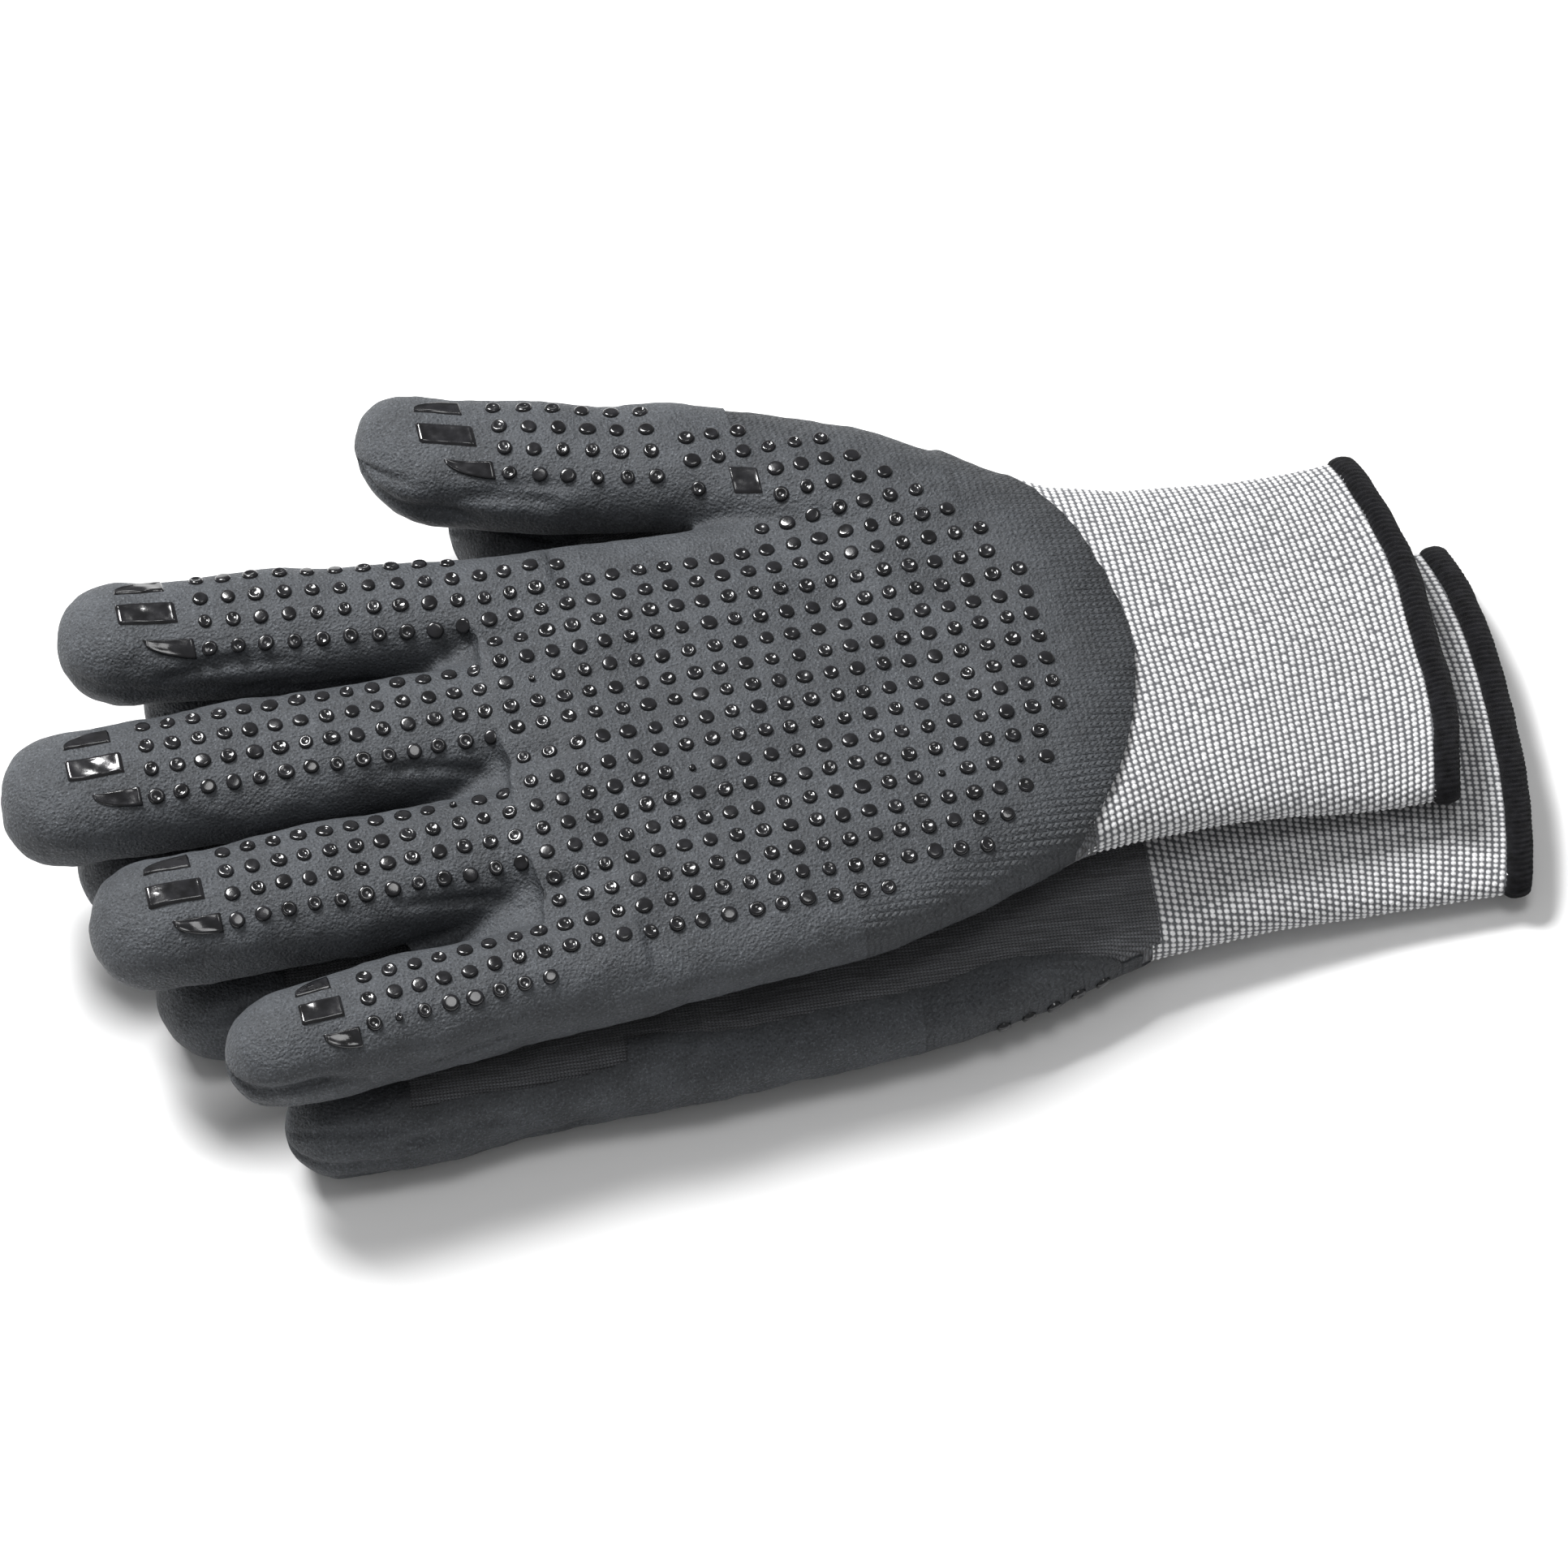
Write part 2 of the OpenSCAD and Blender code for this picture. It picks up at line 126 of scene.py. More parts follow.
class GloveGrip(bpy.types.PropertyGroup):
    """Sizes of the printed grip."""

    dot_width: millimetres("Dot width", "Width of a grip dot at its foot", 2.8)
    dot_height: millimetres("Dot height", "How far a dot stands out of the coating", 0.62)
    dot_pitch: millimetres("Dot pitch", "Distance between dots along the hand", 4.65)
    row_pitch: millimetres("Row pitch", "Distance between rows of dots", 5.0)
    pad_length: millimetres("Pad length", "Length of the middle fingertip pad", 9.6)
    pad_width: millimetres("Pad width", "Width of the middle fingertip pad", 4.6)
    wrap: millimetres("Coating wrap", "Width of the coating's strip on the back along each side", 8)
    coat_reach: millimetres("Coating reach", "How far the coating reaches over the cuff", 16)
    coat_thickness: millimetres("Coating thickness", "Thickness of the foam coating", 0.6)


class GloveColours(bpy.types.PropertyGroup):
    """Colours of the finishes."""

    foam: colour("Foam", "Foam nitrile coating", (0.048, 0.0525, 0.059))
    liner: colour("Liner", "Dark knitted liner", (0.11, 0.114, 0.124))
    rubber: colour("Rubber", "Glossy dots and pads", (0.004, 0.004, 0.005))
    rib_light: colour("Rib, light yarn", "White yarn of the cuff", (0.9, 0.9, 0.91))
    rib_dark: colour("Rib, dark yarn", "Grey elastic yarn of the cuff", (0.1, 0.103, 0.112))
    thread: colour("Thread", "Black overlock thread", (0.005, 0.005, 0.006))
    floor: colour("Floor", "Pale studio floor", (0.86, 0.86, 0.86))


def size(name):
    """One of the glove's sizes, in millimetres."""
    return getattr(bpy.context.scene.glove_sizes, name) / MM


def grip(name):
    """One of the grip's sizes, in millimetres."""
    return getattr(bpy.context.scene.glove_grip, name) / MM


# ---------------------------------------------------------------- shape of a glove


def smooth(t):
    t = np.clip(t, 0, 1)
    return t * t * (3 - 2 * t)


def signed_power(v, p):
    return np.sign(v) * np.abs(v) ** p


def palm_stations():
    """Outline of the palm and cuff without the thumb: rows of X, lower Y, upper Y."""
    length, width, cuff = size("palm_length"), size("palm_width"), size("cuff_width")
    run = size("cuff_length")
    bulge = size("thumb_bulge")
    top = 0.43 * width
    low = top - width
    middle = CUFF_MIDDLE
    return np.array([
        (-2, low + 0.2, top - 0.6),
        (0.15 * length, low + 0.3, top - 2.0),
        (0.42 * length, low + 2.6, top - 2.6),
        (0.57 * length, low + 4.2, top - 1.5),
        (0.78 * length, low + 9.2, top + 0.2 * bulge),
        (0.92 * length, middle - 0.592 * cuff, top + 0.21 * bulge),
        (length, middle - 0.567 * cuff, middle + 0.535 * cuff),
        (length + 10, middle - 0.547 * cuff, middle + 0.468 * cuff),
        (length + 0.35 * run, middle - 0.525 * cuff, middle + 0.45 * cuff),
        (length + 0.65 * run, middle - 0.51 * cuff, middle + 0.465 * cuff),
        (length + run, middle - 0.5 * cuff, middle + 0.5 * cuff),
        (length + run + 8, middle - 0.5 * cuff, middle + 0.5 * cuff),
    ])


def ball_stations():
    """Outline of the ball of the thumb, from the thumb's root into the palm."""
    length, width, bulge = size("palm_length"), size("palm_width"), size("thumb_bulge")
    top = 0.43 * width
    root = FINGER["thumb"][0]
    return np.array([
        (0.42 * length - 6, root - 11.0, root + 13.9),
        (0.42 * length, root - 12.3, root + 12.9),
        (0.57 * length, top - 8, top + 0.88 * bulge),
        (0.78 * length, top - 22, top + 0.53 * bulge),
        (0.92 * length, top - 30, top + 0.14 * bulge),
    ])


def between(stations, x):
    """Middle and half width of an outline at x, on straight lines between its stations."""
    x = np.asarray(x, float)
    lo = np.interp(x, stations[:, 0], stations[:, 1])
    hi = np.interp(x, stations[:, 0], stations[:, 2])
    return (lo + hi) / 2, (hi - lo) / 2


def half_at(x):
    """Half thickness of the hand at x: full over the palm, thinning to the hem."""
    palm, cuff = size("palm_thickness") / 2, size("cuff_thickness") / 2
    length, run = size("palm_length"), size("cuff_length")
    return palm - (palm - cuff) * smooth((np.asarray(x, float) - 0.85 * length) / (run + 0.15 * length))


def middle_at(hand, x, half):
    """Height of the middle plane. Each glove lies flat on what is under it."""
    if hand == "left":
        return -half
    along = place_shift("left")[0] - place_shift("right")[0]
    return 2 * half_at(np.asarray(x, float) - along) + size("stack_gap") + half


def finger_root_x(finger):
    return 0.42 * size("palm_length") if finger == "thumb" else 0.0


def finger_line(finger, s):
    """Y of a finger's middle line at distance s from its root."""
    root_y, lean, *_ = FINGER[finger]
    return root_y + lean * s


def finger_taper(finger, s):
    """1 along the finger, falling to 0 round its tip."""
    length, end = FINGER[finger][2], size("tip_round")
    return np.sqrt(np.clip(1 - (np.clip(s - length + end, 0, None) / end) ** 2.2, 0, 1))


def finger_half(finger, s):
    _, _, length, root, full, _ = FINGER[finger]
    waist = -0.35 * np.sin(np.clip(s / length, 0, 1) * 2 * math.pi * 1.6)
    return ((root + (full - root) * smooth(s / (0.6 * length))) / 2 + waist) * finger_taper(finger, s)


def place_angle(hand):
    """Turn of a glove about Z, from the axis of its middle knuckle."""
    axis = JOINTS[f"{hand}_middle_knuckle"]["axis"]
    return math.atan2(-SIDE[hand] * axis[0], SIDE[hand] * axis[1])


def place_shift(hand):
    """Where a glove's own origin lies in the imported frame, in millimetres."""
    joint = JOINTS[f"{hand}_middle_knuckle"]
    angle = place_angle(hand)
    x, y = -0.2, FINGER["middle"][0]
    return (
        joint["pos_m"][0] / MM - (x * math.cos(angle) - y * math.sin(angle)),
        joint["pos_m"][1] / MM - (x * math.sin(angle) + y * math.cos(angle)),
    )


def place(hand, co):
    """Points of a glove's own frame, in millimetres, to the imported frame, in metres."""
    co = np.asarray(co, float)
    angle, (dx, dy) = place_angle(hand), place_shift(hand)
    x = co[..., 0] * math.cos(angle) - co[..., 1] * math.sin(angle) + dx
    y = co[..., 0] * math.sin(angle) + co[..., 1] * math.cos(angle) + dy
    return np.stack([x, y, SIDE[hand] * co[..., 2]], -1) * MM


def place_direction(hand, n):
    n = np.asarray(n, float)
    angle = place_angle(hand)
    x = n[..., 0] * math.cos(angle) - n[..., 1] * math.sin(angle)
    y = n[..., 0] * math.sin(angle) + n[..., 1] * math.cos(angle)
    return np.stack([x, y, SIDE[hand] * n[..., 2]], -1)


def ripple(co, seed, scale, count=14):
    """A smooth random field between about -1 and 1, of features of that size in millimetres."""
    rng = np.random.default_rng(seed)
    total = np.zeros(len(co))
    for _ in range(count):
        d = rng.normal(size=3)
        d /= np.linalg.norm(d)
        total += np.sin(co @ d * (2 * math.pi / (scale * rng.uniform(0.7, 1.6))) + rng.uniform(0, 7))
    return total / math.sqrt(count)


# ---------------------------------------------------------------- meshes from arrays


def ring(x, y, z, a, b, power, count):
    t = np.linspace(0, 2 * math.pi, count, endpoint=False)
    return np.stack([
        np.full(count, float(x)),
        y + a * signed_power(np.cos(t), 2 / power),
        z + b * signed_power(np.sin(t), 2 / power),
    ], -1)


def loft(rows):
    """Points and faces of a solid through rings of the same count."""
    count = len(rows[0])
    faces = []
    for j in range(len(rows) - 1):
        for i in range(count):
            a, b = j * count + i, j * count + (i + 1) % count
            faces.append((a, b, b + count, a + count))
    faces += [tuple(range(count - 1, -1, -1)), tuple((len(rows) - 1) * count + i for i in range(count))]
    return np.concatenate(rows), faces


def make_object(name, points, faces):
    mesh = bpy.data.meshes.new(name)
    mesh.from_pydata(points.tolist() if hasattr(points, "tolist") else points, [], faces)
    mesh.update()
    obj = bpy.data.objects.new(name, mesh)
    bpy.context.scene.collection.objects.link(obj)
    return obj


def join_parts(parts):
    points, faces, start = [], [], 0
    for co, fs in parts:
        points.append(co)
        faces += [tuple(i + start for i in f) for f in fs]
        start += len(co)
    return np.concatenate(points), faces


def coordinates(mesh):
    co = np.zeros(len(mesh.vertices) * 3)
    mesh.vertices.foreach_get("co", co)
    return co.reshape(-1, 3)


def normals(mesh):
    n = np.zeros(len(mesh.vertices) * 3)
    mesh.vertex_normals.foreach_get("vector", n)
    return n.reshape(-1, 3)


def hand_solids(hand):
    """Palm, ball of the thumb and fingers as overlapping solids."""
    parts = []
    palm = palm_stations()
    for_x = [x for x in palm[:, 0] if x < size("palm_length") + 30]
    for_x = np.unique(np.concatenate([for_x, np.linspace(-2, size("palm_length") + 26, 24)]))
    rows = []
    for x in for_x:
        y, a = between(palm, x)
        half = half_at(x)
        rows.append(ring(x, y, middle_at(hand, x, half), a, half, PALM_POWER, 64))
    parts.append(loft(rows))
    ball = ball_stations()
    rows = []
    for x in np.linspace(ball[0, 0], ball[-1, 0], 12):
        y, a = between(ball, x)
        half = half_at(x)
        rows.append(ring(x, y, middle_at(hand, x, half), a, half - 0.3, BALL_POWER, 48))
    parts.append(loft(rows))
    half = size("finger_thickness") / 2
    for finger in FINGERS:
        length, end = FINGER[finger][2], size("tip_round")
        root = finger_root_x(finger)
        straight = np.linspace(-14, length - end, 16)
        curve = length - end + end * np.sin(np.radians([12, 24, 36, 48, 60, 70, 79, 86]))
        rows = []
        for s in np.concatenate([straight, curve]):
            taper = finger_taper(finger, s)
            rows.append(ring(
                root - s, finger_line(finger, s), middle_at(hand, root, half),
                max(0.3, finger_half(finger, s)), max(0.3, half * taper), FINGER_POWER, 40,
            ))
        parts.append(loft(rows[::-1]))
    for upper, lower in zip(FINGERS[:3], FINGERS[1:4]):
        rows = []
        for s in np.linspace(WEB_LENGTH, -8, 12):
            high = finger_line(upper, s) - finger_half(upper, s)
            low = finger_line(lower, s) + finger_half(lower, s)
            rise = 1 - smooth((s + 4) / (WEB_LENGTH + 4))
            floor, crest = -0.75 * half, (-0.55 + 1.4 * rise) * half
            rows.append(ring(
                -s, (high + low) / 2, middle_at(hand, 0, half) + (floor + crest) / 2,
                (high - low) / 2 + 2.5 + 2.5 * rise, (crest - floor) / 2, 2.2, 24,
            ))
        parts.append(loft(rows))
    return join_parts(parts)


def soft_skin(hand):
    """One closed skin over the hand's solids, with rounded webs between the fingers."""
    points, faces = hand_solids(hand)
    obj = make_object(f"{hand}_skin", points * MM, faces)
    remesh = obj.modifiers.new("skin", "REMESH")
    remesh.mode = "VOXEL"
    remesh.voxel_size = size("voxel") * MM
    relax = obj.modifiers.new("relax", "SMOOTH")
    relax.factor = 0.5
    relax.iterations = 14
    bpy.context.view_layer.update()
    evaluated = obj.evaluated_get(bpy.context.evaluated_depsgraph_get())
    mesh = bpy.data.meshes.new_from_object(evaluated)
    bpy.data.objects.remove(obj)
    return mesh


def nearest_finger(x, y):
    """Number of the finger in FINGERS that a point belongs to, or -1 on the palm."""
    best = np.full(len(x), np.inf)
    owner = np.full(len(x), -1)
    for i, finger in enumerate(FINGERS[:4]):
        s = -x
        off = np.abs(y - finger_line(finger, s)) / (FINGER[finger][4] / 2)
        closer = (off < best) & (s > 0)
        best = np.where(closer, off, best)
        owner = np.where(closer, i, owner)
    thumb_x = finger_root_x("thumb")
    is_thumb = (x < thumb_x) & (y > 41.5 + 0.14 * (thumb_x - x))
    return np.where(is_thumb, 4, owner)


# Folds from the webs into the palm: Y at the finger roots, sideways lean, depth
FOLDS = ((20.6, 0.10, 1.9), (-6.2, 0.02, 1.7), (-33.6, -0.10, 1.8))
FOLD_WIDTH = 2.4
# Dents of the palm: X, Y, reach along X and Y, depth
DENTS = (
    (62, 16, 17, 9, 1.3), (72, -4, 13, 11, 1.2), (48, 30, 20, 5, 0.9),
    (34, -26, 24, 8, 0.7), (20, 8, 18, 7, 0.6), (84, 12, 9, 12, 0.9),
)
PRESS = 0.4           # depth over which the lower glove's skin is pressed flat
CREASES = 13          # lengthwise creases of a finger
CREASE_ANGLE = 0.1    # half width of a crease, in radians round the finger


def wrinkle(hand, co, n):
    """Creases, dents and slack of soft foam and knit, along the skin's normals."""
    seed = SEED[hand]
    x, y, z = co.T
    half = half_at(x)
    rel = z - middle_at(hand, x, half)
    owner = nearest_finger(x, y)
    shift = 0.3 * ripple(co, seed, 26) + 0.12 * ripple(co, seed + 1, 8) + 0.05 * ripple(co, seed + 2, 3.2)
    # lengthwise creases along the sides and backs of the fingers
    s = np.zeros(len(co))
    off = np.zeros(len(co))
    for i, finger in enumerate(FINGERS):
        mine = owner == i
        s[mine] = finger_root_x(finger) - x[mine]
        off[mine] = y[mine] - finger_line(finger, s[mine])
    around = np.arctan2(rel, off + 1e-9)
    creases = np.zeros(len(co))
    rng = np.random.default_rng(seed + 5)
    for finger in range(5):
        mine = owner == finger
        for _ in range(CREASES):
            at = rng.uniform(-math.pi, 0.35) if rng.uniform() < 0.7 else rng.uniform(math.pi - 0.5, math.pi)
            start, run = rng.uniform(2, 45), rng.uniform(14, 34)
            wander = 0.12 * np.sin(s / rng.uniform(5, 11) + rng.uniform(0, 6))
            d = np.abs(np.angle(np.exp(1j * (around - at - wander))))
            window = smooth((s - start) / 6) * smooth((start + run - s) / 6)
            creases += mine * window * rng.uniform(0.35, 0.85) * np.exp(-((d / CREASE_ANGLE) ** 2))
    shift -= creases
    # a fold runs from each web into the palm
    front = np.clip(rel / half, -1, 1)
    for y0, lean, depth in FOLDS:
        line = y - (y0 - lean * x)
        reach = smooth((x + 14) / 12) * smooth((18 - x) / 18) * (0.4 + 0.6 * front)
        shift -= 0.7 * depth * np.exp(-((line / FOLD_WIDTH) ** 2)) * reach
    # shallow dents where the empty palm has sunk
    for dx, dy, rx, ry, depth in DENTS:
        shift -= 1.3 * depth * np.exp(-(((x - dx) / rx) ** 2 + ((y - dy) / ry) ** 2)) * smooth(2 * front)
    # small cross creases where the thumb leaves the palm
    for k in range(4):
        line = (x - 44 - 4.5 * k) - 0.5 * (y - 50)
        shift -= 0.35 * np.exp(-((line / 0.9) ** 2)) * np.exp(-(((y - 49) / 7) ** 2)) * (rel < 3)
    out = co + n * shift[:, None]
    if hand == "left":
        # what would stand above the dots' tops is pressed flat, softly
        lowest = -grip("dot_height") + 0.02
        over = np.clip(out[:, 2] - lowest + PRESS, 0, None)
        pressed = lowest - PRESS * np.exp(-over / PRESS)
        out[:, 2] = np.where(out[:, 2] > lowest - PRESS, pressed, out[:, 2])
    return out


def outline(x):
    """Lower and upper side of the hand at x, with the ball of the thumb."""
    palm, ball = palm_stations(), ball_stations()
    lo = np.interp(x, palm[:, 0], palm[:, 1])
    hi = np.interp(x, palm[:, 0], palm[:, 2])
    on_ball = (x > ball[1, 0]) & (x < ball[-1, 0])
    return lo, np.where(on_ball, np.maximum(hi, np.interp(x, ball[:, 0], ball[:, 2])), hi)


def coat_field(hand, co, seed):
    """Distances in millimetres inside the edge of the coating, and inside its arc over the wrist alone.

    The whole palm side is coated up to the arc. On the back the coating is a strip along each side of the
    hand and of every finger, which tapers out at the wrist, and all of each fingertip.
    """
    x, y, z = co.T
    half = half_at(x)
    rel = z - middle_at(hand, x, half)
    length, cuff = size("palm_length"), size("cuff_width")
    radius = 0.78 * cuff
    centre = length + grip("coat_reach") - radius
    ragged = 0.14 * ripple(co, seed + 20, 4) + 0.3 * ripple(co, seed + 21, 24)
    arc = radius - np.where(x > centre, np.hypot(x - centre, y - CUFF_MIDDLE), -50) + ragged
    lo, hi = outline(x)
    front = rel + 0.15 * half
    wrap = grip("wrap")
    taper = smooth((x - length + 30) / 34) * (wrap + 2)
    strip = np.maximum(front, wrap - taper - np.minimum(y - lo, hi - y))
    owner = nearest_finger(x, y)
    for i, finger in enumerate(FINGERS):
        s = finger_root_x(finger) - x
        off = np.abs(y - finger_line(finger, s))
        full = (FINGER[finger][3] + FINGER[finger][4]) / 4
        side = np.maximum(front, 0.55 * wrap - full + off)
        tip = 0.8 * (s - FINGER[finger][2] + 22) - 0.012 * off**2
        strip = np.where(owner == i, np.maximum(side, tip), strip)
        beside_root = (owner == -1) & (s > -14) & (off < full + 4) & (finger != "thumb")
        strip = np.where(beside_root, np.maximum(strip, np.minimum(side, 6) + 0.9 * np.minimum(s, 0)), strip)
    return np.minimum(arc, strip + ragged), arc


def set_attribute(mesh, name, values):
    kind = "FLOAT_VECTOR" if values.ndim == 2 else "FLOAT"
    attribute = mesh.attributes.new(name, kind, "POINT")
    attribute.data.foreach_set("vector" if values.ndim == 2 else "value", values.astype(np.float32).ravel())


def get_attribute(mesh, name, width):
    values = np.zeros(len(mesh.vertices) * width, np.float32)
    mesh.attributes[name].data.foreach_get("vector" if width > 1 else "value", values)
    return values.reshape(-1, width) if width > 1 else values


def split_faces(bm, layer):
    """Cuts the mesh along the line where a vertex layer changes sign."""
    fresh = []
    for edge in list(bm.edges):
        a, b = edge.verts
        va, vb = a[layer], b[layer]
        if va * vb < 0:
            _, vert = bmesh.utils.edge_split(edge, a, va / (va - vb))
            vert[layer] = 0.0
            fresh.append(vert)
    bmesh.ops.connect_verts(bm, verts=fresh)


def cut_skin(hand):
    """The hand's skin in millimetres, cut at the joints and along the edge of the coating."""
    mesh = soft_skin(hand)
    co = wrinkle(hand, coordinates(mesh) / MM, normals(mesh))
    mesh.vertices.foreach_set("co", co.ravel())
    mesh.update()
    set_attribute(mesh, "rest", co)
    set_attribute(mesh, "soft_normal", normals(mesh))
    coat, arc = coat_field(hand, co, SEED[hand])
    set_attribute(mesh, "coat", coat + 1e-5)
    set_attribute(mesh, "arc", arc)
    bm = bmesh.new()
    bm.from_mesh(mesh)
    for finger in FINGERS:
        joint = FINGER[finger][2] * JOINT_SHARE
        for s in (ROOT_CUT, joint):
            x = finger_root_x(finger) - s
            if finger == "thumb":
                faces = [f for f in bm.faces if abs(f.calc_center_median().x - x) < 3
                         and f.calc_center_median().y > 41.5 + 0.14 * (finger_root_x("thumb") - x)]
            else:
                centre = finger_line(finger, s)
                width = FINGER[finger][4] / 2 + 1.2
                faces = [f for f in bm.faces if abs(f.calc_center_median().x - x) < 3
                         and abs(f.calc_center_median().y - centre) < width]
            geom = list({v for f in faces for v in f.verts} | {e for f in faces for e in f.edges}) + faces
            bmesh.ops.bisect_plane(bm, geom=geom, plane_co=(x, 0, 0), plane_no=(1, 0, 0), dist=1e-4)
    split_faces(bm, bm.verts.layers.float["coat"])
    bm.to_mesh(mesh)
    bm.free()
    return mesh


BOW = 4.6             # how far the middle of the hem bows out past its ends
WEB_LENGTH = 24.0     # how far the web between two fingers reaches along them
ROOT_CUT = 4.0        # distance from a finger's root where its own skin starts, past the web
BEND_LENGTH = 17.0    # length of skin over which a finger turns at its root
JOINT_BEND = 15.0     # the same at its middle joint


def face_arrays(mesh):
    total = np.zeros(len(mesh.polygons), int)
    start = np.zeros(len(mesh.polygons), int)
    verts = np.zeros(len(mesh.loops), int)
    mesh.polygons.foreach_get("loop_total", total)
    mesh.polygons.foreach_get("loop_start", start)
    mesh.loops.foreach_get("vertex_index", verts)
    return start, total, verts


def take_faces(mesh, chosen, start, total, verts):
    """Faces and old vertex numbers of part of a mesh."""
    used = np.unique(np.concatenate([verts[s : s + t] for s, t in zip(start[chosen], total[chosen])]))
    lookup = np.full(len(mesh.vertices), -1)
    lookup[used] = np.arange(len(used))
    faces = [tuple(lookup[verts[s : s + t]]) for s, t in zip(start[chosen], total[chosen])]
    return used, faces


def finish_mesh(hand, name, co, faces, attributes, custom=None):
    """A placed object from points in the glove's own frame."""
    if SIDE[hand] < 0:
        faces = [f[::-1] for f in faces]
    obj = make_object(name, place(hand, co), [tuple(int(i) for i in f) for f in faces])
    for key, values in attributes.items():
        set_attribute(obj.data, key, np.asarray(values, float))
    obj.data.polygons.foreach_set("use_smooth", [True] * len(obj.data.polygons))
    if custom is not None:
        turned = place_direction(hand, custom)
        obj.data.normals_split_custom_set_from_vertices(turned.tolist())
    return obj


def bend(obj, hand, segment):
    """Makes a piece follow its stretch of the glove."""
    if segment == "hand":
        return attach(obj, f"{hand}_hand")
    finger, stretch = segment.split("_")
    joint = FINGER[finger][2] * JOINT_SHARE
    s0, run = (ROOT_CUT, BEND_LENGTH) if stretch == "base" else (joint, JOINT_BEND)
    parent = f"{hand}_hand" if stretch == "base" else f"{hand}_{finger}_base"
    x, z = finger_root_x(finger), middle_at(hand, finger_root_x(finger), 8.6)
    line = [place(hand, (x - s, finger_line(finger, s0), z)) for s in (s0, s0 + run)]
    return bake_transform(obj, parent, f"{hand}_{segment}", start=tuple(line[0]), end=tuple(line[1]))


def segments():
    return ["hand"] + [f"{finger}_{stretch}" for finger in FINGERS for stretch in ("base", "tip")]


def segment_of(co):
    """Number of the stretch in segments() that each point lies on."""
    x, y = co[:, 0], co[:, 1]
    owner = nearest_finger(x, y)
    out = np.zeros(len(co), int)
    for i, finger in enumerate(FINGERS):
        s = finger_root_x(finger) - x
        joint = FINGER[finger][2] * JOINT_SHARE
        out[(owner == i) & (s > ROOT_CUT)] = 1 + 2 * i
        out[(owner == i) & (s > joint)] = 2 + 2 * i
    return out


def rim(co, n, faces, edge_value, depth):
    """Turns the cut edge of the coating down to the knit: points and faces to add."""
    count = {}
    for f in faces:
        for a, b in zip(f, f[1:] + f[:1]):
            count[(a, b)] = count.get((a, b), 0) + 1
    on_edge = np.abs(edge_value) < 1e-3
    edges = [(a, b) for (a, b) in count if (b, a) not in count and on_edge[a] and on_edge[b]]
    ids = sorted({i for e in edges for i in e})
    first = {v: len(co) + k for k, v in enumerate(ids)}
    second = {v: len(co) + len(ids) + k for k, v in enumerate(ids)}
    added = np.concatenate([co[ids], co[ids] - n[ids] * depth])
    extra = [(first[b], first[a], second[a], second[b]) for a, b in edges]
    return added, extra


def build_skin(hand, materials):
    """The coating and the bare liner of every stretch of one glove. Returns the tree of the whole skin."""
    mesh = cut_skin(hand)
    co = coordinates(mesh)
    n = get_attribute(mesh, "soft_normal", 3)
    n /= np.linalg.norm(n, axis=1)[:, None] + 1e-9
    coat = get_attribute(mesh, "coat", 1)
    arc = get_attribute(mesh, "arc", 1)
    start, total, verts = face_arrays(mesh)
    centre = np.add.reduceat(co[verts], start) / total[:, None]
    mean = np.add.reduceat(coat[verts], start) / total
    part = segment_of(centre)
    wrist = size("palm_length")
    thickness = grip("coat_thickness")
    tree = BVHTree.FromPolygons(co.tolist(), [tuple(verts[s : s + t]) for s, t in zip(start, total)])
    for i, segment in enumerate(segments()):
        chosen = np.flatnonzero((part == i) & (mean > 0))
        used, faces = take_faces(mesh, chosen, start, total, verts)
        added, extra = rim(co[used], n[used], faces, coat[used], thickness)
        points = np.concatenate([co[used], added])
        custom = np.concatenate([n[used], np.zeros_like(added)])
        depth = np.concatenate([coat[used], np.zeros(len(added))])
        marks = {"rest": points, "coat": depth, "arc": np.concatenate([arc[used], np.full(len(added), 40.0)])}
        foam = finish_mesh(hand, f"{hand}_{segment}_foam", points, faces + extra, marks, custom)
        foam.data.materials.append(materials["foam"])
        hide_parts(f"{hand}_{'palm' if segment == 'hand' else segment}_coating")
        bend(foam, hand, segment)
        bare = np.flatnonzero((part == i) & (mean < 1.6) & (centre[:, 0] < wrist + 0.8))
        if len(bare) == 0:
            continue
        used, faces = take_faces(mesh, bare, start, total, verts)
        points = co[used] - n[used] * (0.75 * thickness)
        knit = finish_mesh(hand, f"{hand}_{segment}_knit", points, faces, {"rest": co[used]}, n[used])
        knit.data.materials.append(materials["liner"])
        if not segment.endswith("tip"):
            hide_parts(f"{hand}_{'palm' if segment == 'hand' else segment}_liner")
        bend(knit, hand, segment)
    return tree


# ---------------------------------------------------------------- grip


def on_skin(tree, x, y):
    """Point and normal of the palm side of the skin at x, y."""
    hit, normal, _, _ = tree.ray_cast(Vector((x, y, 100)), Vector((0, 0, -1)))
    return hit, normal


def dot_shape(rng, width, height):
    """Rings of a printed dot: radius and height, with a dimple where the rubber sank."""
    lift = height * rng.uniform(0.85, 1.08)
    r = width / 2 * rng.uniform(0.93, 1.06)
    profile = [(1.0, -0.25), (1.0, 0.28 * lift), (0.93, 0.68 * lift), (0.78, 0.95 * lift), (0.58, lift)]
    if rng.uniform() < 0.65:
        profile += [(0.38, 0.66 * lift), (0.16, 0.56 * lift)]
    else:
        profile += [(0.34, 1.02 * lift), (0.15, 1.03 * lift)]
    return [(a * r, h) for a, h in profile]


